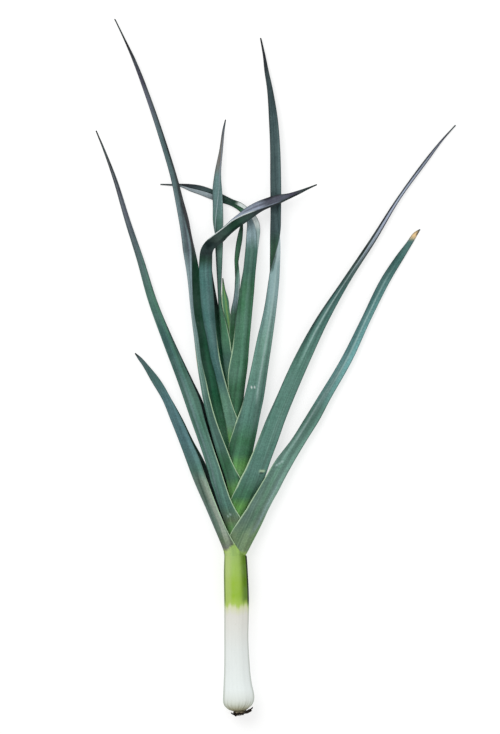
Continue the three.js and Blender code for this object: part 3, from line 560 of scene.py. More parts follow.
            Band(26.8, 30, -1, -0.1, Tone.PURPLE, 0.9),
            Band(26.5, 30, -1, -0.8, Tone.PURPLE_DARK, 0.6),
            Band(24.4, 28, -0.66, -0.42, Tone.PURPLE, 0.75, 0, 0.5),
            Band(20, 26, 0.04, 0.2, Tone.NIGHT, 0.8),
            Band(19, 26, 0.75, 1, Tone.NIGHT, 0.6),
            Band(19.6, 25.4, -0.1, 0.04, Tone.CHALK, 1.0, 0, 0.5),
            Band(25.4, 28, -0.12, 0.02, Tone.LILAC, 0.7, 0, 0.5),
            Band(9, 16, 0.55, 0.8, Tone.SLATE_PALE, 0.1),
        ),
        stations=(
            (100, -5.8, 3.6, 2.8), (124, -7, 4, 2.8), (138, -8.4, 4.4, 2.6), (152, -10.6, 4.4, 2),
            (165.6, -13.2, 1.2, 0.6), (174, -15, -2.2, -1), (186, -17.4, -6.2, -3.4), (198, -20, -9.8, -6),
            (210, -23, 13.6, -13.2, 19.6, -8.5, 7), (222, -26, 13.6, -16.3, 19.6, -11, 6.4),
            (234, -29.4, 13.6, -19, 19.8, -13, 5.8), (258, -34.3, 14, -22.4, 20, -16, 5.2),
            (282, -39.2, 14.4, -24.6, 20.2, -18, 5), (306, -42, 15, -26.2, 20.6, -22.6, 5),
            (324, -43.2, 15.6, -27.6, 21, -26, 5.6), (342, -44, 16.4, -28.6, 21.4, -28.8, 7),
            (354, -43.5, 17.4, -28.4, 21.8, -29.8, 8.4),
            (-42.2, 364.8, 18.6, -28, 362.4, 22, -30.5, 362, 9.8),
            (-39.6, 370.8, 20.5, -26.4, 366.6, 22.2, -31, 366.6, 10.6),
            (-35.4, 376.2, 22.6, -23.4, 369.6, 22.4, -30.6, 372.6, 11.6),
            (-30, 381.2, 24.8, -19.2, 372.6, 22.6, -28.6, 380, 13),
            (-22.8, 386.4, 27, -14.4, 376.4, 22.8, -23.2, 387, 15.6),
            (-14.4, 392.8, 28.4, -7.8, 383.4, 23, -14.9, 393.5, 17),
            (-4.8, 400.4, 29, 1.2, 391.2, 23.4, -5.8, 402, 18.4),
            (4.8, 405.6, 29.4, 9.6, 397.2, 23.8, 3, 409, 19.4),
            (16.8, 410.4, 29.4, 20.4, 404.9, 24.4, 13.5, 417.4, 20.4),
            (28.8, 414.6, 28.6, 31, 412.3, 24.8, 25.8, 424, 20.8),
            (40.8, 419, 27.2, 41.6, 417.4, 24.2, 38.4, 428.7, 21),
            (51.6, 422.9, 25.4, 52.2, 421.7, 23, 49.2, 432, 20.8),
            (62.4, 427.9, 22.6, 62.9, 427, 21, 61.2, 433.4, 19.8),
            (74.4, 433.7, 19, 74.9, 432.8, 18, 73.6, 436.9, 17.6),
            (86, 439.6, 14.8, 86.3, 438.9, 14.4, 85.7, 441, 14.2),
            (97, 444.7, 10.4, 97.2, 444.2, 10.4, 96.8, 445.2, 10.4),
        ),
    ),
    LeafPlan(
        name="leaf_right_4_arched", side=1, leave=(262, 310), pale_edge=(240, 290),
        outer=stops(
            GREEN_FRESH=(0, 1.2), GREEN=(2.4, 4, 12, 22.6), FERN=(6.5, 9), JADE=(14, 16),
            SLATE_PALE=(17.5, 20), TEAL_PALE=21.5, NIGHT_GREEN=24, SLATE=26, PURPLE_DARK=29, CHAR=31,
        ),
        inner=stops(GREEN_DEEP=0, NIGHT_GREEN=(10, 18, 24), CHAR=31),
        bands=(
            Band(13, 20, -1, -0.02, Tone.PALE, 0.85),
            Band(18.4, 21.4, -1, 0.05, Tone.CHALK, 0.7, 0, 0.4),
            Band(21.2, 23.3, -1, -0.15, Tone.CHALK, 0.9, 0, 0.4),
            Band(5, 10, 0.45, 1, Tone.TEAL_PALE, 0.3),
            Band(2.6, 9, 0, 0.3, Tone.GREEN_DEEP, 0.5),
            Band(24.2, 26, -1, 1, Tone.NIGHT_GREEN, 0.6, 0, 0.6),
            Band(25.6, 30, 0.1, 1, Tone.LILAC_PALE, 0.75, 0, 0.6),
            Band(24.5, 30, -0.1, 0.1, Tone.NIGHT, 0.7),
            Band(9, 17, 0.4, 0.6, Tone.TEAL_PALE, 0.35),
            Band(3, 16, 0.0, 0.1, Tone.NIGHT_GREEN, 0.5),
        ),
        stations=(
            (135, 4.6, -3.4, -2.6), (150, 5.2, -4, -2.8), (165, 6.2, -4.6, -3), (180, 8, -6.4, -3.2),
            (198, 10, -8.8, -3.6), (208, 11.2, -9.6, -3.4), (220, 12.8, -9, -2.8), (232, 14.2, -7.2, -1.6),
            (244, 15, -4.8, 0), (258, 16.1, -3, 2), (282, 18.2, 13.3, -0.5, 18.6, 5.6, 7.8),
            (306, 20.3, 13.4, 2.6, 18, 10, 8), (318, 21.4, 13.4, 4.4, 17.6, 14, 7.2),
            (330, 22.3, 13.5, 6.4, 17, 18, 6.6), (342, 23.3, 13.7, 8.6, 16, 21.4, 6),
            (354, 24.5, 14, 9.9, 15, 24.4, 5.6), (366, 25.3, 14.4, 11.1, 13.8, 26.2, 5.6),
            (378, 25, 15, 12, 12.4, 27.7, 6.6), (389, 24.2, 15.4, 12.8, 11, 28.9, 7.6),
            (22.8, 396, 15.2, 13.4, 396, 10, 28.2, 397.4, 8.4),
            (19.6, 402.8, 14.4, 12.6, 401.6, 9, 25, 405, 8.8),
            (15, 409, 13, 10.8, 406.4, 8.4, 19.6, 412.4, 8.8),
            (9.6, 414.4, 11.4, 7, 410, 7.2, 13.4, 417.6, 8),
            (3.4, 418.2, 9.4, 1.6, 414.6, 5.8, 6, 423, 6.4),
            (-4.4, 422.2, 7.4, -6, 419.2, 4.4, -3.2, 426.6, 4.8),
            (-15.7, 427.4, 5.4, -16.6, 422.8, 3, -15, 432.5, 3.2),
            (-30, 434.2, 4.2, -31.2, 427.8, 2, -29, 439.2, 2.2),
            (-43.2, 438.2, 3.4, -44, 433, 1.6, -42.8, 443.7, 1.8),
            (-55.2, 441, 2.7, -55.8, 437.4, 1.4, -55, 445.4, 1.6),
            (-66, 443.8, 2.2, -66, 442.1, 1.4, -66, 445.7, 1.5),
            (-78, 444.6, 1.7, -78, 443.7, 1.2, -78, 445.5, 1.3),
            (-91, 445.2, 1.2, -91, 444.7, 1.2, -91, 445.7, 1.2),
        ),
    ),
    LeafPlan(
        name="leaf_left_5", side=-1, leave=(240, 275), pale_edge=(250, 300),
        outer=stops(
            GREEN_FRESH=0, GREEN=3, JADE=5, FERN=(7, 9), TEAL=(12.5, 14.4, 15), TEAL_PALE=13.4,
            HAZE=(16, 18.4), PINK_GREY=(19.4, 20.4), PURPLE=21.2, PURPLE_DARK=22,
        ),
        inner=stops(GREEN_DEEP=0, NIGHT_GREEN=8, NIGHT=12, TEAL=15, TEAL_PALE=18, PURPLE=20, PURPLE_DARK=22),
        bands=(
            Band(8, 15, 0, 0.3, Tone.NIGHT, 0.7),
            Band(14, 18, 0.86, 1, Tone.PALE, 0.3),
            Band(14.6, 18.4, 0.02, 0.14, Tone.FROST, 0.7, 0, 0.5),
            Band(18, 21, -0.2, 0.1, Tone.LILAC, 0.5),
        ),
        stations=(
            (165, -5.4, 2, 1.6), (180, -7.6, 2, 1.6), (198, -10, 2.2, 1.4), (210, -11.6, 2.2, 1.2),
            (222, -13.2, 1, 0.4), (234, -14.8, -2.4, -1.6), (246, -16.2, -5.6, -4.4),
            (258, -17.4, 13, -7.2, 17.2, -7, 9.2), (270, -18.6, 12.4, -9.8, 16.2, -9.8, 8.6),
            (282, -19.8, 12, -12.6, 15, -12.8, 8.4), (294, -20.4, 11.6, -15.8, 14, -16.4, 8.4),
            (306, -21, 11.2, -17.8, 13.4, -18.2, 8.2), (330, -22.2, 10.8, -17.3, 13, -18.2, 8),
            (354, -23.6, 10.6, -16.3, 12.8, -17, 8), (378, -24.8, 10.6, -15.5, 12.6, -23.4, 8),
            (399, -25, 11.2, -15.2, 12, -27.4, 7.8), (420, -23, 12.2, -15.6, 10.6, -27.8, 8.8),
            (438, -21, 12.6, -16.8, 9.8, -28.2, 9.2), (450, -19.8, 12.4, -18, 8.8, -26.9, 9.4),
            (462, -18.8, 12, -18.2, 8.4, -25, 9.4), (486, -16.7, 10.6, -16.3, 8.4, -20, 9.2),
            (510, -14.7, 9, -14.2, 8.2, -16.4, 8.4),
            (-12.8, 522.6, 7.8, -12.3, 522.7, 7.8, -13.3, 522.5, 7.8),
        ),
    ),
    LeafPlan(
        name="leaf_right_5", side=1, leave=(262, 300), pale_edge=(250, 300),
        outer=stops(GREEN=(0, 11.5), GREEN_DEEP=(3, 6.5, 14), SLATE_PALE=8, TEAL_PALE=10, NIGHT_GREEN=16),
        inner=stops(GREEN_DEEP=(0, 11), GREEN=8, NIGHT_GREEN=16),
        bands=(
            Band(7.5, 10.5, 0, 0.35, Tone.PALE, 0.7),
            Band(11, 15, 0.6, 1, Tone.NIGHT_GREEN, 0.6),
        ),
        stations=(
            (190, 2.2, -4.2, -3), (210, 2.4, -5.4, -3), (230, 2.6, -7.2, -3), (246, 2.8, -8.4, -3),
            (258, 3, -9, -2.8), (270, 3.2, -8.4, -2.4), (282, 3.3, 13.2, -7.2, 16.2, -2.4, 10),
            (294, 3.5, 13, -6, 15.8, -2.2, 9.8), (306, 3.5, 12.8, -3.4, 15.4, -1.6, 9.6),
            (318, 3.8, 12.5, -1.8, 15, -0.6, 9.6), (330, 4.3, 12.2, -1.2, 14.6, -1, 9.6),
            (342, 3.4, 11.6, 0.6, 14.2, -1.4, 9.8), (354, 2.6, 11, 3, 13.6, -1.9, 10.2),
            (366, 4.2, 10.8, 5, 13.2, -1, 10.6), (378, 6.2, 10.8, 7, 12.8, 0.8, 10.8),
            (390, 7.4, 11, 7.9, 12.2, 3.6, 11.2), (7.4, 400.6, 11.6, 7.9, 400.7, 11.6, 6.9, 400.5, 11.6),
        ),
    ),
    LeafPlan(
        name="leaf_left_6_young", side=-1, leave=(250, 285), pale_edge=(250, 320),
        slot="young_leaf",
        outer=stops(GREEN_FRESH=0, GREEN=(2, 4), FERN=7, GREEN_DEEP=9),
        inner=stops(GREEN_FRESH=0, GREEN_DEEP=6, GREEN=9),
        bands=(
            Band(4, 9, 0, 0.22, Tone.MARGIN, 0.7),
            Band(4, 8.5, 0.55, 0.75, Tone.LIME, 0.3),
        ),
        stations=(
            (215, -5.6, 0.8, 0.8), (230, -7.6, 0.4, 0.4), (246, -9.6, -0.6, -0.6), (258, -10.8, -2, -2),
            (270, -12.6, 12.6, -3.6, 14.6, -4, 11.6), (282, -14.2, 12.4, -5.4, 14.3, -6, 11.4),
            (294, -16, 12.1, -7.6, 14, -9, 11.1), (306, -17.4, 11.8, -9, 13.6, -11, 10.8),
            (318, -16.6, 12.2, -13, 13.2, -13.6, 11.2),
            (-16.2, 332, 12.6, -15.7, 332.1, 12.6, -16.7, 331.9, 12.6),
        ),
    ),
)


SHANK_PROFILE = (
    (-186.6, 7.2, 2.8, 18.6), (-185.6, 9.8, 2.4, 18.6), (-183, 13.2, 2.1, 18.6), (-180.4, 16, 2.4, 18.5),
    (-177.4, 17.7, 2.8, 18.4), (-174, 18.5, 3.2, 18.3), (-169, 18.7, 3.4, 18.3), (-163, 18.1, 3.1, 18.2),
    (-155, 17, 2.3, 18.1), (-142, 15.8, 1.7, 17.9), (-126, 15, 1.2, 17.7), (-102, 14.4, 0.6, 17.4),
    (-54, 14.8, 0.9, 16.7), (-20, 14.3, 0, 16.2), (-0.9, 13.5, -0.5, 15.8),
)
# Darker olive towards the foot: the bulb's olive-grey base, with painted shade under it.
SHANK_TINTS = (
    (-186.6, (112, 104, 74)), (-185, (150, 146, 112)), (-182, (192, 194, 172)), (-178, (216, 222, 210)),
    (-173, (228, 234, 228)), (-160, (237, 244, 242)), (-115, (231, 236, 233)), (-72, (225, 224, 216)),
    (-63, (216, 220, 180)), (-58, (172, 202, 84)), (-48, (148, 188, 44)), (-34, (154, 190, 66)),
    (-16, (160, 194, 92)), (-2, (156, 188, 98)), (14, (152, 186, 98)),
)
FOOT_X = (-14.0, -10.8, -8.4, -5.4, -2.4)
FOOT_LEVEL = (4.2, 4.8, 8.4, 11.4, 13.8)


def shank_tone(y: np.ndarray, turn: np.ndarray) -> np.ndarray:
    """Colour of the shank's skin: white below, lime above, with painted shade at its edges and, in the lime
    part, a deeper green and painted shade on the right flank and a painted highlight on the left.

    Args:
        y: level up the shank.
        turn: place across, the sine of the angle from the top line.

    Returns:
        Linear colours.
    """
    tint = tone_line(SHANK_TINTS, y)
    green = smooth_step(y, *LIME_FROM)
    edge_shade = smooth_step(np.abs(turn), 0.84, 0.97)
    # Painted light: a deeper green with painted shade on the right flank, a painted highlight on the left
    # flank, painted shade along both edges, and a painted shadow line near the right edge.
    layers = (
        (Tone.FLANK_GREEN_AND_SHADE, 0.85 * green * smooth_step(turn, 0.15, 0.75)),
        (Tone.FLANK_LIT, 0.7 * green * smooth_step(-turn, 0.25, 0.65)),
        (Tone.FLANK_EDGE_SHADE, 0.8 * green * edge_shade),
        (Tone.FLANK_SHADOW_LINE, 0.95 * green * smooth_step(turn, 0.8, 0.92)),
        (Tone.SHAFT_EDGE_SHADE, 0.6 * (1 - green) * edge_shade),
    )
    for tone, share in layers:
        tint = paint(tint, tone, share)
    return tint


def keel_reach(order: int, y: np.ndarray) -> np.ndarray:
    """Distance of a leaf's keel from the middle of the bundle, read off its rising stations.

    Args:
        order: the leaf's number, from the outermost.
        y: levels.

    Returns:
        The distance at every level.
    """
    rows = LEAVES[order].rows()
    falling = np.flatnonzero(np.diff(rows[:, 1]) <= 0)
    end = falling[0] + 1 if falling.size else len(rows)
    return np.abs(np.interp(y, rows[:end, 1], rows[:end, 0]) - BUNDLE_X)


def open_reach(order: int, y: np.ndarray) -> np.ndarray:
    """Reach of a sheath on its open side, where it wraps the keel of the next leaf."""
    inner = order + 1 < len(LEAVES)
    return keel_reach(order + 1, y) + NEST_GAP if inner else np.full(np.shape(y), HEART_REACH)


def sheath_depth(order: int, y: np.ndarray) -> np.ndarray:
    """Half depth of a rolled leaf: the bundle's half depth less the layers that lie over the leaf.

    Args:
        order: the leaf's number, from the outermost.
        y: levels.

    Returns:
        The half depth at every level.
    """
    bundle = np.maximum(BUNDLE_DEPTH - BUNDLE_TAPER * np.maximum(y, 0), BUNDLE_LEAST)
    skin = np.interp(y, SKIN_LEVEL, np.arange(len(SKIN_LEVEL)))
    gone = np.interp(skin, np.arange(len(LAYER)), LAYER)
    return np.maximum(bundle - LAYER[order] + gone, LAYER_LEAST)


def sheath_height(order: int, x: np.ndarray, y: np.ndarray) -> np.ndarray:
    """Height of a rolled leaf over the bundle's middle: depth times (1 - (d / reach)^2)^e.

    The section is round at the collar, with e = 0.5, and turns to a lens, with e = 0.88.

    Args:
        order: the leaf's number, from the outermost.
        x: places across.
        y: levels.

    Returns:
        The height at every point.
    """
    d = LEAVES[order].side * (x - BUNDLE_X)
    reach = np.where(d > 0, keel_reach(order, y), open_reach(order, y))
    power = 0.5 + 0.38 * smooth_step(y, -1, 40)
    return sheath_depth(order, y) * np.maximum(0, 1 - (d / reach) ** 2) ** power


@dataclass
class MeshParts:
    """Arrays of one closed surface: points in millimetres, faces, and what its material reads."""

    points: np.ndarray
    faces: tuple[np.ndarray, ...]
    tint: np.ndarray
    uv: np.ndarray


def flat(*grids: np.ndarray) -> np.ndarray:
    """Grids of points, colours or faces, laid end to end as one list."""
    return np.concatenate([grid.reshape(-1, grid.shape[-1]) for grid in grids])


def unit(vectors: np.ndarray) -> np.ndarray:
    """Vectors brought to length 1."""
    return vectors / np.maximum(np.linalg.norm(vectors, axis=-1, keepdims=True), 1e-9)


def grid_faces(rows: int, columns: int, start: int = 0, turned: bool = False) -> np.ndarray:
    """Quads of a grid of points numbered row by row.

    Args:
        rows: how many rows of points.
        columns: how many points in a row.
        start: number of the first point.
        turned: whether the faces look the other way.

    Returns:
        Four point numbers for every quad.
    """
    number = start + np.arange(rows * columns).reshape(rows, columns)
    a, b, c, d = number[:-1, :-1], number[1:, :-1], number[1:, 1:], number[:-1, 1:]
    order = (a, d, c, b) if turned else (a, b, c, d)
    return flat(np.stack(order, axis=-1))


def tube_faces(count: int, rings: int, sides: int) -> tuple[np.ndarray, ...]:
    """Faces of closed tubes: a wall of quads between rings, and a fan from the pole at each end.

    The poles are numbered after all rings, those of the first ends before those of the last ends.

    Args:
        count: how many tubes.
        rings: rings in a tube.
        sides: points in a ring.

    Returns:
        Quads of the walls, triangles of the first ends, and triangles of the last ends.
    """
    number = np.arange(count * rings * sides).reshape(count, rings, sides)
    after = np.roll(number, -1, axis=2)
    pole = number.size + np.arange(2 * count).reshape(2, count, 1)
    low, high = (np.broadcast_to(end, (count, sides)) for end in pole)
    return (flat(np.stack([number[:, :-1], after[:, :-1], after[:, 1:], number[:, 1:]], axis=-1)),
            flat(np.stack([low, after[:, 0], number[:, 0]], axis=-1)),
            flat(np.stack([high, number[:, -1], after[:, -1]], axis=-1)))


def add_object(name: str, data: ID) -> Object:
    """Puts a new object into the scene, at the origin.

    Args:
        name: the object's name.
        data: its mesh, light or camera.

    Returns:
        The object.
    """
    thing = bpy.data.objects.new(name, data)
    bpy.context.scene.collection.objects.link(thing)
    return thing


def make_piece(name: str, parts: MeshParts, offset: np.ndarray, node: str,
               material: Material) -> Object:
    """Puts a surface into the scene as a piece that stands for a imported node.

    Args:
        name: the piece's name.
        parts: its points, faces, tints and UV places.
        offset: the collar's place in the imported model, in millimetres.
        node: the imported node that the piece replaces.
        material: its finish.

    Returns:
        The new object, riding on the root body.
    """
    mesh = bpy.data.meshes.new(name)
    faces = [corners for group in parts.faces for corners in group.tolist()]
    mesh.from_pydata(((parts.points + offset) * MM).tolist(), [], faces)
    mesh.polygons.foreach_set("use_smooth", np.ones(len(mesh.polygons), bool))
    tint = mesh.attributes.new("tint", "FLOAT_COLOR", "POINT")
    rgba = np.concatenate([parts.tint, np.ones((len(parts.tint), 1))], axis=1)
    tint.data.foreach_set("color", rgba.astype(np.float32).ravel())
    layer = mesh.uv_layers.new(name="skin")
    corner = np.zeros(len(mesh.loops), np.int32)
    mesh.loops.foreach_get("vertex_index", corner)
    layer.data.foreach_set("uv", (parts.uv[corner] * MM).astype(np.float32).ravel())
    mesh.update()
    mesh.set_sharp_from_angle(angle=CREASE)
    mesh.materials.append(material)
    piece = add_object(name, mesh)
    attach(piece, "root")
    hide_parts(node)
    log.info("%s: %d faces", name, len(mesh.polygons))
    return piece


@dataclass
class LeafBlade:
    """One leaf: folded along its keel, rolled at its foot and open above."""

    order: int
    offset: np.ndarray
    margin_line: float = 1.1
    keel_shade: float = 0.52
    margin_pale: float = 0.95
    margin_dark: float = 0.5
    purple_levels: tuple[float, float] = (240, 330)
    open_run: float = 1.3
    open_rise: float = 0.95
    skin_shift: float = 97

    @property
    def plan(self) -> LeafPlan:
        """The leaf's course and colours."""
        return LEAVES[self.order]

    def rows(self) -> tuple[np.ndarray, np.ndarray]:
        """Stations filled in by cubic curves along the leaf.

        Near the tip the front margin moves out by TIP_SWELL, so that the tip ends a little blunt.

        Returns:
            The dense rows, and each row's place counted in stations.
        """
        rows = self.plan.rows()
        knots = np.concatenate([[0], np.cumsum(np.linalg.norm(np.diff(rows[:, :3], axis=0), axis=1))])
        s = np.linspace(0, knots[-1], int(knots[-1] / FINE_ROW) + 2)
        dense, place = cubic_fill(rows, knots, s)
        out = dense[:, 3:5] - dense[:, :2]
        reach = np.maximum(np.linalg.norm(out, axis=1, keepdims=True), 0.1)
        dense[:, 3:5] += TIP_SWELL * smooth_step(s / knots[-1], *TIP_RANGE)[:, None] * out / reach
        return dense, place

    def arm(self, rows: np.ndarray, front: bool) -> np.ndarray:
        """Middle surface of one half blade, from the keel to the margin.

        Rolled, a point turns round the bundle by an even angle and takes the sheath's height.
        Open, it runs from keel to margin by t^1.3, and rises by t^0.95. The leaf passes from
        one to the other between its two leave levels.

        Args:
            rows: dense rows of keel, front margin and back margin.
            front: the half that faces up.

        Returns:
            Points as an array of rows by arm steps by 3.
        """
        plan = self.plan
        kx, ky, kz = (rows[:, k, None] for k in range(3))
        margin = rows[:, 3:6] if front else rows[:, 6:9]
        mx, my, mz = (margin[:, k, None] for k in range(3))
        t = np.linspace(0, 1, FINE_ARM + 1)[None, :]
        free = smooth_step(ky, *plan.leave)
        near = np.abs(kx - BUNDLE_X)
        far = open_reach(self.order, ky)
        across = plan.side * (mx - BUNDLE_X)
        full = np.arccos(np.clip(across / np.where(across > 0, near, far), -1, 1))
        c = np.cos(full * t)
        rolled_x = BUNDLE_X + plan.side * c * np.where(c > 0, near, far)
        share = t**self.open_run
        x = rolled_x + (kx + (mx - kx) * share - rolled_x) * free
        y = ky + (my - ky) * share
        rise = sheath_height(self.order, x, y) * (t > 0)
        rolled_z = bundle_z(y) + (rise if front else -rise)
        open_z = kz + (mz - kz) * t**self.open_rise
        return np.stack([x, y, rolled_z + (open_z - rolled_z) * free], axis=-1)

    def middle(self) -> tuple[np.ndarray, np.ndarray]:
        """Middle surface from the back margin over the keel to the front margin.

        Returns:
            The surface, and each row's place counted in stations.
        """
        rows, place = self.rows()
        back = self.arm(rows, False)[:, ::-1]
        front = self.arm(rows, True)[:, 1:]
        grid = np.concatenate([back, front], axis=1)
        if self.order == 0:
            grid[0, :, 1] -= COLLAR_SEAM
        return grid, place

    def thickness(self, grid: np.ndarray) -> np.ndarray:
        """Blade thickness: even, thinner to the tip and margins, with a rib along the keel.

        Args:
            grid: the middle surface.

        Returns:
            The thickness at every point of the grid.
        """
        along = np.linspace(0, 1, grid.shape[0])[:, None]
        across = np.abs(np.linspace(-1, 1, grid.shape[1]))[None, :]
        free = smooth_step(grid[:, FINE_ARM, 1], *self.plan.leave)[:, None]
        blade = BLADE + (TIP_BLADE - BLADE) * along**3
        rib = KEEL_EXTRA * free * (1 - across) ** 3 * (1 - along**4)
        return blade * (1 - MARGIN_THINNING * smooth_step(across, 0.9, 1.0)) + rib

    def tints(self, grid: np.ndarray, place: np.ndarray, outer: bool) -> np.ndarray:
        """Colour of every point of one face of the leaf.

        Args:
            grid: the middle surface.
            place: each row's place counted in stations.
            outer: the face away from the leek's heart.

        Returns:
            Linear colours with the shape of the grid.
        """
        plan = self.plan
        base = tone_line(plan.outer if outer else plan.inner, place)
        tint = np.repeat(base[:, None, :], grid.shape[1], axis=1)
        across = np.linspace(-1, 1, grid.shape[1])
        keel = 1 - smooth_step(np.abs(across), 0.02, 0.11)
        free = smooth_step(grid[:, FINE_ARM, 1], *plan.leave)[:, None]
        # Painted shade along the keel, where the fold turns away from the light.
        tint = paint(tint, Tone.NIGHT_GREEN, self.keel_shade * free * keel[None, :])
        for band in plan.bands if outer else ():
            tint = paint(tint, band.tone, band.mask(place, across))
        for mark in plan.marks if outer else ():
            tint = paint(tint, mark.tone, mark.mask(grid))
        front_edge = np.linalg.norm(grid - grid[:, -1:], axis=-1)
        back_edge = np.linalg.norm(grid - grid[:, :1], axis=-1)
        rim = 1 - smooth_step(np.minimum(front_edge, back_edge), 0.35, self.margin_line)
        rise = grid[..., 1]
        dark = smooth_step(rise, *plan.pale_edge)
        purple = smooth_step(rise, *self.purple_levels)
        tint = paint(tint, Tone.MARGIN, self.margin_pale * rim * (1 - dark))
        tint = paint(tint, Tone.NIGHT_GREEN, self.margin_dark * rim * dark)
        tint = paint(tint, Tone.PURPLE_DARK, self.margin_dark * rim * purple)
        if self.order == 0 and outer:
            foot = np.interp(grid[..., 0], FOOT_X, FOOT_LEVEL)
            _, radius, middle, _ = SHANK_PROFILE[-1]
            shaft = shank_tone(rise, (grid[..., 0] - middle) / radius)
            tint = mix(tint, shaft, 1 - smooth_step(rise - foot, -1, 0.8))
        return tint

    def surface(self) -> MeshParts:
        """Closed blade round the middle surface: both faces offset along its normals, and a rim.

        Returns:
            The blade's mesh.
        """
        grid, place = self.middle()
        normal = unit(np.cross(np.gradient(grid, axis=0), np.gradient(grid, axis=1)))
        half = self.thickness(grid)[..., None] / 2
        upper, lower = grid + normal * half, grid - normal * half
        if self.plan.settle:
            low = min(upper[..., 2].min(), lower[..., 2].min())
            for sheet in (upper, lower):
                sheet[..., 2] -= low * smooth_step(sheet[..., 1], *self.plan.settle)
        n, m = grid.shape[:2]
        number = np.arange(n * m).reshape(n, m)
        loop = np.concatenate([number[0], number[1:, -1], number[-1, -2::-1], number[-2:0:-1, 0]])
        ahead = np.roll(loop, -1)
        rim = np.stack([loop, ahead, ahead + n * m, loop + n * m], axis=-1)
        step = np.linalg.norm(np.diff(grid, axis=1), axis=-1)
        u = np.concatenate([np.zeros((n, 1)), np.cumsum(step, axis=1)], axis=1)
        u -= u[:, FINE_ARM:FINE_ARM + 1]
        v = np.concatenate([[0], np.cumsum(np.linalg.norm(np.diff(grid[:, FINE_ARM], axis=0), axis=1))])
        uv = np.stack([u + self.skin_shift * self.order, np.repeat(v[:, None], m, axis=1)], axis=-1)
        upper_outer = self.plan.side > 0
        return MeshParts(
            points=flat(upper, lower),
            faces=(grid_faces(n, m), grid_faces(n, m, n * m, True), rim),
            tint=flat(self.tints(grid, place, upper_outer), self.tints(grid, place, not upper_outer)),
            uv=flat(uv, uv),
        )

    def build(self, material: Material) -> Object:
        """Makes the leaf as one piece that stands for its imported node."""
        plan = self.plan
        return make_piece(plan.name + "_blade", self.surface(), self.offset, plan.name, material)


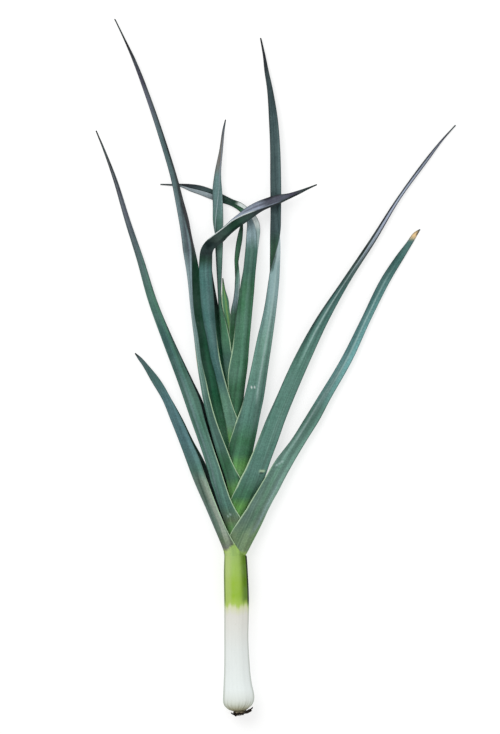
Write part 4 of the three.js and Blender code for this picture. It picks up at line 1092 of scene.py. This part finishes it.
@dataclass
class Shank:
    """The white shaft with its bulb, carried up among the leaf bases as a thin stalk."""

    offset: np.ndarray
    sides: int = 128
    row: float = 1.6
    furrow: float = 0.16
    flat_spot: float = 0.45
    pleat: float = 0.9
    pleat_width: float = 0.07
    groove_shade: float = 0.9
    groove_shade_width: float = 0.05
    skin_radius: float = 14
    grooves: tuple[tuple[float, float], ...] = (
        (-1.32, 0.7), (-1.05, 0.3), (-0.82, 0.55), (-0.5, 0.35), (-0.2, 0.2), (0.06, 0.45), (0.3, 0.3),
        (0.52, 0.75), (0.7, 0.5), (0.93, 0.8), (1.2, 0.6), (1.38, 0.4), (2.2, 0.6), (3.1, 0.5), (4.1, 0.6),
    )
    stalk: tuple[tuple[float, float], ...] = ((-0.2, 12.0), (1.0, 9.0), (11, 8.6), (13, 7.6), (29, 6.1),
                                              (45, 4.4), (59, 2.8), (132, 2.6), (162, 2.0), (188, 1.1))

    def profile(self) -> np.ndarray:
        """Rows of level, radius, sideways place and middle height, by the same curves as a leaf.

        Forty rows make the round foot up to level -160, and above it one comes every 1.6 mm.

        Returns:
            The shaft's rows from the foot up, then those of the stalk.
        """
        rows = np.array(SHANK_PROFILE)
        y = np.concatenate([np.linspace(SHANK_FOOT, -160, 40), np.arange(-158.4, -1.2, self.row), [-0.9]])
        shaft, _ = cubic_fill(rows, rows[:, 0], y)
        stalk = [(up, radius, BUNDLE_X, float(bundle_z(np.array(up)))) for up, radius in self.stalk]
        return np.vstack([shaft, stalk])

    def pleats(self, angle: np.ndarray, width: float) -> np.ndarray:
        """Sum over the grooves of their strength times exp(-(gap / width)^2).

        Args:
            angle: angles round the shank.
            width: half width of a groove, as an angle.

        Returns:
            The sum at every angle.
        """
        place, strength = np.array(self.grooves).T
        gap = (angle[:, None] - place + np.pi) % (2 * np.pi) - np.pi
        return (np.exp(-(gap / width) ** 2) * strength).sum(axis=-1)

    def surface(self) -> MeshParts:
        """Lathe-like skin with shallow furrows along it, deeper where the bulb draws in.

        Returns:
            The shank's mesh.
        """
        rows = self.profile()
        angle = np.linspace(0, 2 * np.pi, self.sides, endpoint=False)
        y, radius, x0, z0 = (rows[:, k, None] for k in range(4))
        waves = (np.sin(7 * angle + 0.4) + 0.7 * np.sin(13 * angle + 2.1) + 0.5 * np.sin(23 * angle + 4.0))
        drawn = 1 - smooth_step(y, -186, -166)
        pleats = self.pleats(angle, self.pleat_width)
        depth = self.furrow * waves * smooth_step(-y, 0, 20) - self.pleat * drawn * pleats
        r = radius + depth * smooth_step(-y, -1, 4)
        x = x0 + r * np.sin(angle)
        z = z0 + r * np.cos(angle)
        z = np.where(z < self.flat_spot, 0.0, z)
        ring = np.stack([x, np.broadcast_to(y, x.shape), z], axis=-1)
        tint = self.tints(ring, angle, drawn)
        uv = np.stack(np.broadcast_arrays(angle * self.skin_radius, y), axis=-1)
        return MeshParts(
            points=flat(ring, rows[[0, -1]][:, [2, 0, 3]]),
            faces=tube_faces(1, *x.shape),
            tint=flat(tint, tint[0, :1], tint[-1, :1]),
            uv=flat(uv, uv[0, :1], uv[-1, :1]),
        )

    def tints(self, ring: np.ndarray, angle: np.ndarray, drawn: np.ndarray) -> np.ndarray:
        """White shaft that turns lime along a ragged line, with painted shade at its sides and in the bulb's
        grooves, and in the green part a darker right flank and a painted highlight on the left.

        Args:
            ring: the shank's points.
            angle: angles round the shank.
            drawn: how far the bulb draws in, from 0 to 1, row by row.

        Returns:
            Linear colours for every point.
        """
        ragged = 1.8 * np.sin(5 * angle + 1) + 1.2 * np.sin(13 * angle) + 0.5 * np.sin(31 * angle + 2)
        y = ring[..., 1] + ragged * np.exp(-((ring[..., 1] + 60) / 14) ** 2)
        tint = shank_tone(y, np.sin(angle)[None, :])
        # Painted shade in the bulb's grooves, strongest where the bulb draws in.
        groove_shading = np.minimum(self.pleats(angle, self.groove_shade_width), 1)
        return paint(tint, Tone.GROOVE_SHADE, self.groove_shade * drawn**1.5 * groove_shading[None, :])

    def build(self, material: Material) -> Object:
        """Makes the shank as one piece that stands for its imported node."""
        return make_piece("shank_skin", self.surface(), self.offset, "shank", material)


@dataclass
class RootTuft:
    """Trimmed roots that spread from a plate under the bulb, pale at the plate and dark at the cut."""

    offset: np.ndarray
    count: int = 70
    rings: int = 9
    sides: int = 10
    seed: int = 9241
    plate: tuple[float, float, float] = (3.6, -188.9, 18.6)
    direction: tuple[float, float, float] = (0.23, -0.97, 0.0)
    start_ring: float = 4.6
    spread: float = 14
    thick: float = 0.75
    skin_radius: float = 2
    skin_length: float = 12
    skin_shift: float = 31
    plate_rings: tuple[tuple[float, float], ...] = ((1.85, 6.4), (0.75, 7.4), (-0.35, 5.4))
    plate_sides: int = 40
    plate_tones: tuple[Colour, ...] = ((206, 198, 172), (176, 160, 130))
    root_tones: tuple[Colour, ...] = ((214, 204, 178), (150, 132, 104), (46, 36, 28), (14, 11, 10),
                                      (10, 8, 8), (16, 13, 12))

    def draws(self, wanted: int) -> np.ndarray:
        """Even random numbers from 0 to 1: each seed is 16807 times the last, modulo 2^31 - 1.

        Args:
            wanted: how many numbers.

        Returns:
            The numbers, each seed over 2^31 - 1.
        """
        seed, values = self.seed, []
        for _ in range(wanted):
            seed = (seed * 16807) % 2147483647
            values.append(seed / 2147483647)
        return np.array(values)

    def axes(self) -> tuple[np.ndarray, np.ndarray, np.ndarray]:
        """Direction of the tuft, and its two directions across.

        Returns:
            Three vectors of length 1.
        """
        out = np.array(self.direction)
        out = out / np.linalg.norm(out)
        return out, np.array([-out[1], out[0], 0.0]), np.array([0.0, 0.0, 1.0])

    def rods(self) -> tuple[np.ndarray, np.ndarray]:
        """Middle lines and radii of all roots.

        Each root starts on the plate and follows the parabola through its knee and end. The
        roots sit by the golden angle, further out by the square root of their number.

        Returns:
            Points as roots by rings by 3, and radii as roots by rings.
        """
        out, across, up = self.axes()
        chance = self.draws(self.count * 5).reshape(self.count, 5)
        i = np.arange(self.count)
        ring = np.sqrt((i + 0.5) / self.count)
        angle = i * GOLDEN_ANGLE + 0.3 * chance[:, 0]
        cosine, sine = np.cos(angle)[:, None], np.sin(angle)[:, None]
        centre = np.array(self.plate)
        wide = self.start_ring * ring[:, None]
        start = centre + across * wide * cosine + up * wide * sine - 0.3 * out
        spread = (self.spread * ring * (0.9 + 0.18 * chance[:, 1]))[:, None]
        drop = (-2.8 * ring**2 + 4.0 * chance[:, 2] - 0.3)[:, None]
        end = centre + across * (4.4 * ring[:, None] + spread * cosine) + up * 0.85 * spread * sine
        end = end + out * drop
        knee = start + (end - start) * 0.55 + out * (1.1 + 0.5 * chance[:, 3])[:, None]
        size = self.thick * (0.7 + 0.6 * chance[:, 4])
        t = np.linspace(0, 1, self.rings)[None, :, None]
        line = (start[:, None] * 2 * (t - 0.5) * (t - 1) - knee[:, None] * 4 * t * (t - 1)
                + end[:, None] * 2 * t * (t - 0.5))
        radii = size[:, None] * (1 - 0.15 * np.linspace(0, 1, self.rings)[None, :] ** 2)
        return line, radii

    def tubes(self, line: np.ndarray, radii: np.ndarray, sides: int, tones: tuple[Colour, ...]) -> MeshParts:
        """Closed tubes round middle lines, with a point at each end.

        Args:
            line: tubes by rings by 3.
            radii: tubes by rings.
            sides: corners of a section.
            tones: colours from the first ring to the last, evenly spaced.

        Returns:
            The tubes as one set of parts.
        """
        count, rings = radii.shape
        ahead = unit(np.gradient(line, axis=1))
        side = unit(np.cross(ahead, np.array([0.31, 0.2, 0.93])))
        third = np.cross(ahead, side)
        turn = np.linspace(0, 2 * np.pi, sides, endpoint=False)[:, None]
        wall = (line[:, :, None] + radii[:, :, None, None]
                * (side[:, :, None] * np.cos(turn) + third[:, :, None] * np.sin(turn)))
        t = np.linspace(0, 1, rings)
        along = tone_line(zip(np.linspace(0, 1, len(tones)), tones), t)
        tint = np.broadcast_to(along[None, :, None], wall.shape)
        ends = np.repeat(along[[0, -1]], count, axis=0)
        round_it = turn[:, 0] * self.skin_radius + self.skin_shift * np.arange(count)[:, None, None]
        uv = np.stack(np.broadcast_arrays(round_it, t[None, :, None] * self.skin_length), axis=-1)
        return MeshParts(
            points=flat(wall, line[:, 0], line[:, -1]),
            faces=tube_faces(count, rings, sides),
            tint=flat(tint, ends),
            uv=flat(uv, np.zeros((2 * count, 2))),
        )

    def surface(self) -> MeshParts:
        """The plate and all roots together.

        Returns:
            The tuft's mesh.
        """
        rise, radii = np.array(self.plate_rings).T
        plate_line = np.array(self.plate) + np.array([0.0, 1.0, 0.0]) * rise[None, :, None]
        plate = self.tubes(plate_line, radii[None, :], self.plate_sides, self.plate_tones)
        roots = self.tubes(*self.rods(), self.sides, self.root_tones)
        first = len(plate.points)
        return MeshParts(
            points=flat(plate.points, roots.points),
            faces=plate.faces + tuple(group + first for group in roots.faces),
            tint=flat(plate.tint, roots.tint),
            uv=flat(plate.uv, roots.uv),
        )

    def build(self, material: Material) -> Object:
        """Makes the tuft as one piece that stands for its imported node."""
        return make_piece("root_tuft_fibres", self.surface(), self.offset, "root_tuft", material)


@dataclass
class Weave:
    """Short way to add and join the nodes of one shader tree."""

    tree: NodeTree

    def add(self, kind: str, inputs: dict | None = None, **settings: object) -> Node:
        """Adds a node.

        Args:
            kind: the node's type name.
            inputs: values or output sockets for its inputs, by name or number.
            settings: the node's own settings.

        Returns:
            The new node.
        """
        node = self.tree.nodes.new(kind)
        for key, value in settings.items():
            setattr(node, key, value)
        for key, value in (inputs or {}).items():
            if isinstance(value, NodeSocket):
                self.tree.links.new(value, node.inputs[key])
            else:
                node.inputs[key].default_value = value
        return node

    def link(self, value: NodeSocket, target: NodeSocket) -> None:
        """Joins an output to an input."""
        self.tree.links.new(value, target)

    def math(self, operation: str, a: object, b: object) -> NodeSocket:
        """One sum, difference or product of two values."""
        return self.add("ShaderNodeMath", {0: a, 1: b}, operation=operation).outputs[0]

    def times(self, a: object, b: object) -> NodeSocket:
        """Product of two values."""
        return self.math("MULTIPLY", a, b)

    def ramp(self, value: object, low: float, high: float, to_low: float = 0.0,
             to_high: float = 1.0) -> NodeSocket:
        """Smooth change of a value from one range to another."""
        inputs = {"Value": value, "From Min": low, "From Max": high, "To Min": to_low, "To Max": to_high}
        return self.add("ShaderNodeMapRange", inputs, interpolation_type="SMOOTHSTEP").outputs["Result"]

    def blend(self, share: object, a: object, b: object) -> NodeSocket:
        """Blend of two colours, a where share is 0 and b where it is 1."""
        return self.add("ShaderNodeMix", {0: share, 6: a, 7: b}, data_type="RGBA").outputs[2]

    def scaled(self, colour: object, factor: object) -> NodeSocket:
        """A colour or vector times a factor."""
        return self.add("ShaderNodeVectorMath", {0: colour, 3: factor}, operation="SCALE").outputs[0]

    def noise(self, vector: object, scale: float, detail: float, rough: float) -> NodeSocket:
        """Cloudy noise from 0 to 1."""
        inputs = {"Vector": vector, "Scale": scale, "Detail": detail, "Roughness": rough}
        return self.add("ShaderNodeTexNoise", inputs).outputs[0]


def open_group(name: str, inputs: dict[str, float], outputs: tuple[str, ...]) -> tuple[Weave, Node, Node]:
    """Starts a shader node group with a Vector input, named values and named value outputs.

    Args:
        name: the group's name.
        inputs: name and default of every value input.
        outputs: names of the value outputs.

    Returns:
        The group's weave, its input node and its output node.
    """
    group = bpy.data.node_groups.new(name, "ShaderNodeTree")
    group.interface.new_socket("Vector", in_out="INPUT", socket_type="NodeSocketVector")
    for label, default in inputs.items():
        socket = group.interface.new_socket(label, in_out="INPUT", socket_type="NodeSocketFloat")
        socket.default_value = default
    for label in outputs:
        group.interface.new_socket(label, in_out="OUTPUT", socket_type="NodeSocketFloat")
    weave = Weave(group)
    return weave, weave.add("NodeGroupInput"), weave.add("NodeGroupOutput")


def open_material(name: str) -> tuple[Material, Weave, Node]:
    """Starts a material.

    Args:
        name: the material's name.

    Returns:
        The material, the weave of its nodes and its Principled shader.
    """
    material = bpy.data.materials.new(name)
    material.use_nodes = True
    weave = Weave(material.node_tree)
    return material, weave, next(n for n in weave.tree.nodes if n.type == "BSDF_PRINCIPLED")


def fibre_group() -> NodeTree:
    """Streaks that run along a skin: noise squeezed across and drawn out along.

    Returns:
        The group.
    """
    weave, given, made = open_group("fibre_streaks", {"Across": 400.0, "Along": 9.0},
                                    ("Broad", "Fine", "Height", "Ripple"))
    vector = given.outputs["Vector"]
    parts = weave.add("ShaderNodeSeparateXYZ", {0: vector})
    u = weave.times(parts.outputs[0], given.outputs["Across"])
    v = weave.times(parts.outputs[1], given.outputs["Along"])
    place = weave.add("ShaderNodeCombineXYZ", {0: u, 1: v}).outputs[0]
    broad = weave.noise(place, 0.34, 2.0, 0.5)
    fine = weave.noise(place, 1.0, 3.0, 0.6)
    hair = weave.noise(place, 2.6, 1.0, 0.5)
    wrinkle = weave.add("ShaderNodeVectorMath", {0: vector, 1: (60.0, 420.0, 0.0)}, operation="MULTIPLY")
    ripple = weave.noise(wrinkle.outputs[0], 1.0, 2.0, 0.5)
    height = weave.math("ADD", weave.times(fine, 0.5), weave.times(hair, 0.3))
    weave.link(weave.ramp(broad, 0.3, 0.7), made.inputs["Broad"])
    weave.link(weave.ramp(fine, 0.3, 0.7), made.inputs["Fine"])
    weave.link(weave.ramp(ripple, 0.35, 0.65), made.inputs["Ripple"])
    weave.link(weave.math("ADD", height, weave.times(ripple, 0.2)), made.inputs["Height"])
    return weave.tree


def wax_group() -> NodeTree:
    """Cloudy wax bloom, and rare small rubbed spots.

    Returns:
        The group.
    """
    weave, given, made = open_group("wax_bloom", {"Size": 45.0}, ("Bloom", "Spots", "Mottle"))
    vector = weave.scaled(given.outputs["Vector"], given.outputs["Size"])
    grain = weave.ramp(weave.noise(vector, 8.5, 1.0, 0.5), 0.72, 0.8)
    rare = weave.ramp(weave.noise(vector, 0.9, 1.0, 0.5), 0.6, 0.68)
    weave.link(weave.ramp(weave.noise(vector, 1.0, 5.0, 0.6), 0.35, 0.68), made.inputs["Bloom"])
    weave.link(weave.ramp(weave.noise(vector, 12.0, 2.0, 0.6), 0.3, 0.7), made.inputs["Mottle"])
    weave.link(weave.times(grain, rare), made.inputs["Spots"])
    return weave.tree


@dataclass(frozen=True)
class SkinFinish:
    """Plant skin: the vertex tint, streaked along its fibres and clouded by wax."""

    name: str
    across: float
    along: float
    streak_dark: float
    streak_light: float
    bloom_tone: Colour
    bloom_share: float
    spot_tone: Colour
    spot_share: float
    rough_low: float
    rough_high: float
    relief: float
    specular: float
    mottle: float
    ripple: float = 0.0
    calm_from: tuple[float, float] = (0.28, 0.42)
    calm: float = 0.75
    relief_depth: float = 0.0006

    def build(self, fibre: NodeTree, wax: NodeTree) -> Material:
        """Makes the finish. On pale skin, as calm says, the streaks and mottling fade.

        Args:
            fibre: the group that gives streaks.
            wax: the group that gives bloom and spots.

        Returns:
            The material.
        """
        material, weave, shader = open_material(self.name)
        tint = weave.add("ShaderNodeAttribute", attribute_name="tint", attribute_type="GEOMETRY").outputs[0]
        skin = weave.add("ShaderNodeUVMap", uv_map="skin").outputs[0]
        place = weave.add("ShaderNodeTexCoord").outputs["Object"]
        streaks = weave.add("ShaderNodeGroup", {"Vector": skin, "Across": self.across, "Along": self.along},
                            node_tree=fibre).outputs
        cloud = weave.add("ShaderNodeGroup", {"Vector": place}, node_tree=wax).outputs
        broad = weave.ramp(streaks["Broad"], 0, 1, self.streak_dark, self.streak_light)
        half_dark, half_light = (1 + self.streak_dark) / 2, (1 + self.streak_light) / 2
        fine = weave.ramp(streaks["Fine"], 0, 1, half_dark, half_light)
        mottle = weave.ramp(cloud["Mottle"], 0, 1, 1 - self.mottle, 1 + self.mottle)
        ripple = weave.ramp(streaks["Ripple"], 0, 1, 1 - self.ripple, 1 + self.ripple)
        shade = weave.times(weave.times(broad, fine), weave.times(mottle, ripple))
        light = weave.add("ShaderNodeRGBToBW", {0: tint}).outputs[0]
        calm = weave.ramp(light, *self.calm_from, 0.0, self.calm)
        shade = weave.math("ADD", shade, weave.times(weave.math("SUBTRACT", 1.0, shade), calm))
        colour = weave.scaled(tint, shade)
        for output, share, tone in (("Bloom", self.bloom_share, self.bloom_tone),
                                    ("Spots", self.spot_share, self.spot_tone)):
            colour = weave.blend(weave.times(cloud[output], share), colour, (*to_linear(tone), 1.0))
        rough = weave.math("ADD", weave.times(cloud["Bloom"], 0.7), weave.times(streaks["Fine"], 0.3))
        rough = weave.ramp(rough, 0, 1, self.rough_low, self.rough_high)
        relief = {"Height": streaks["Height"], "Strength": self.relief, "Distance": self.relief_depth}
        bump = weave.add("ShaderNodeBump", relief).outputs[0]
        for label, value in (("Base Color", colour), ("Roughness", rough), ("Normal", bump)):
            weave.link(value, shader.inputs[label])
        shader.inputs["Specular IOR Level"].default_value = self.specular
        return material


LEAF_SKIN = SkinFinish(
    name="leaf_skin", across=360.0, along=7.0, streak_dark=0.7, streak_light=1.28,
    bloom_tone=(150, 178, 176), bloom_share=0.1, spot_tone=(150, 166, 140), spot_share=0.25,
    rough_low=0.5, rough_high=0.68, relief=0.4, specular=0.08, mottle=0.12, ripple=0.03,
)
YOUNG_SKIN = SkinFinish(
    name="young_leaf_skin", across=330.0, along=7.0, streak_dark=0.82, streak_light=1.16,
    bloom_tone=(190, 208, 160), bloom_share=0.06, spot_tone=(206, 206, 176), spot_share=0.3,
    rough_low=0.45, rough_high=0.6, relief=0.3, specular=0.1, mottle=0.08,
)
SHANK_SKIN = SkinFinish(
    name="shank_skin", across=300.0, along=5.0, streak_dark=0.93, streak_light=1.05,
    bloom_tone=(238, 242, 238), bloom_share=0.05, spot_tone=(196, 190, 160), spot_share=0.25,
    rough_low=0.6, rough_high=0.72, relief=0.3, specular=0.04, mottle=0.03,
)
ROOT_SKIN = SkinFinish(
    name="root_skin", across=900.0, along=160.0, streak_dark=0.75, streak_light=1.2,
    bloom_tone=(120, 98, 76), bloom_share=0.1, spot_tone=(92, 66, 44), spot_share=0.2,
    rough_low=0.62, rough_high=0.85, relief=0.8, specular=0.15, mottle=0.2,
)


@dataclass(frozen=True)
class TableFinish:
    """Pale table top of milk glass, lit a little from below, with the faintest mottling."""

    name: str = "pale_table"
    tone: Colour = (180, 180, 180)
    dim: Colour = (177, 177, 177)
    specular: float = 0.1
    glow: float = 0.63

    def build(self) -> Material:
        """Makes the finish.

        Returns:
            The material.
        """
        material, weave, shader = open_material(self.name)
        place = weave.add("ShaderNodeTexCoord").outputs["Object"]
        cloud = weave.ramp(weave.noise(place, 3.0, 4.0, 0.5), 0.3, 0.7)
        colour = weave.blend(cloud, (*to_linear(self.dim), 1.0), (*to_linear(self.tone), 1.0))
        grain = weave.ramp(weave.noise(place, 220.0, 2.0, 0.5), 0, 1, 0.8, 0.9)
        weave.link(colour, shader.inputs["Base Color"])
        weave.link(grain, shader.inputs["Roughness"])
        shader.inputs["Specular IOR Level"].default_value = self.specular
        shader.inputs["Emission Color"].default_value = (1, 1, 1, 1)
        shader.inputs["Emission Strength"].default_value = self.glow
        return material


@dataclass
class Studio:
    """Pale table, soft overhead light and the camera that looks straight down."""

    offset: np.ndarray
    lens: float = 300.0
    sensor: float = 36.0
    plane: float = 10.0
    table_half: float = 4.0

    def table(self, material: Material) -> Object:
        """Makes the table top as a wide flat square at the leek's resting level.

        Args:
            material: its finish.

        Returns:
            The table top.
        """
        half = self.table_half
        mesh = bpy.data.meshes.new("table_top")
        mesh.from_pydata([(-half, -half, 0), (half, -half, 0), (half, half, 0), (-half, half, 0)], [],
                         [(0, 1, 2, 3)])
        mesh.materials.append(material)
        table = add_object("table_top", mesh)
        return table

    def light(self, name: str, place: tuple[float, float, float], size: float, power: float) -> Object:
        """Adds one square light that faces the leek.

        Args:
            name: the light's name.
            place: its place in metres.
            size: its side in metres.
            power: its power in watts.

        Returns:
            The light.
        """
        data = bpy.data.lights.new(name, "AREA")
        data.size = size
        data.energy = power
        lamp = add_object(name, data)
        lamp.location = place
        aim = -np.array(place) / np.linalg.norm(place)
        lamp.rotation_euler = (math.acos(-aim[2]), 0, math.atan2(-aim[0], aim[1]))
        return lamp

    def sky(self, strength: float) -> None:
        """Gives the room an even pale glow.

        Args:
            strength: the glow's strength.
        """
        world = bpy.data.worlds.new("room")
        world.use_nodes = True
        glow = next(n for n in world.node_tree.nodes if n.type == "BACKGROUND")
        glow.inputs["Color"].default_value = (1, 1, 1, 1)
        glow.inputs["Strength"].default_value = strength
        bpy.context.scene.world = world

    def camera(self) -> Object:
        """Puts the camera over the middle of the picture, looking straight down.

        Its height makes one picture point cover PIXEL millimetres at the height of the plane.

        Returns:
            The camera.
        """
        data = bpy.data.cameras.new("overhead")
        data.lens = self.lens
        data.sensor_width = self.sensor
        data.clip_end = 50
        camera = add_object("overhead", data)
        middle = np.array([PHOTO_SIZE[0] / 2 - COLLAR_PIXEL[0], COLLAR_PIXEL[1] - PHOTO_SIZE[1] / 2]) * PIXEL
        height = self.plane + max(PHOTO_SIZE) * PIXEL * self.lens / self.sensor
        camera.location = (*((middle + self.offset[:2]) * MM), height * MM)
        bpy.context.scene.camera = camera
        return camera

    def build(self) -> None:
        """Sets up the table, the lights and the camera."""
        self.table(TableFinish().build())
        self.light("soft_key", (-1.1, 1.2, 2.2), size=1.8, power=35)
        self.light("soft_fill", (1.3, -0.8, 2.4), size=2.2, power=11)
        self.sky(strength=0.55)
        self.camera()
        view = bpy.context.scene.view_settings
        view.view_transform = "Standard"
        view.look = "None"
        view.exposure = 0.0


def collar_offset() -> np.ndarray:
    """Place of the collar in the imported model, in millimetres, read off the shank's box."""
    low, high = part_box("shank")
    return np.array([(low[0] + high[0]) / 2 / MM - BULB_X, low[1] / MM - SHANK_FOOT, 0.0])


def main() -> None:
    """Builds the leek piece by piece, then its studio."""
    logging.basicConfig(level=logging.INFO, format="%(name)s: %(message)s")
    offset = collar_offset()
    fibre, wax = fibre_group(), wax_group()
    skins = {"leaves": LEAF_SKIN.build(fibre, wax), "young_leaf": YOUNG_SKIN.build(fibre, wax)}
    Shank(offset).build(SHANK_SKIN.build(fibre, wax))
    RootTuft(offset).build(ROOT_SKIN.build(fibre, wax))
    for order, plan in enumerate(LEAVES):
        LeafBlade(order, offset).build(skins[plan.slot])
    Studio(offset).build()


if __name__ == "__main__":
    main()
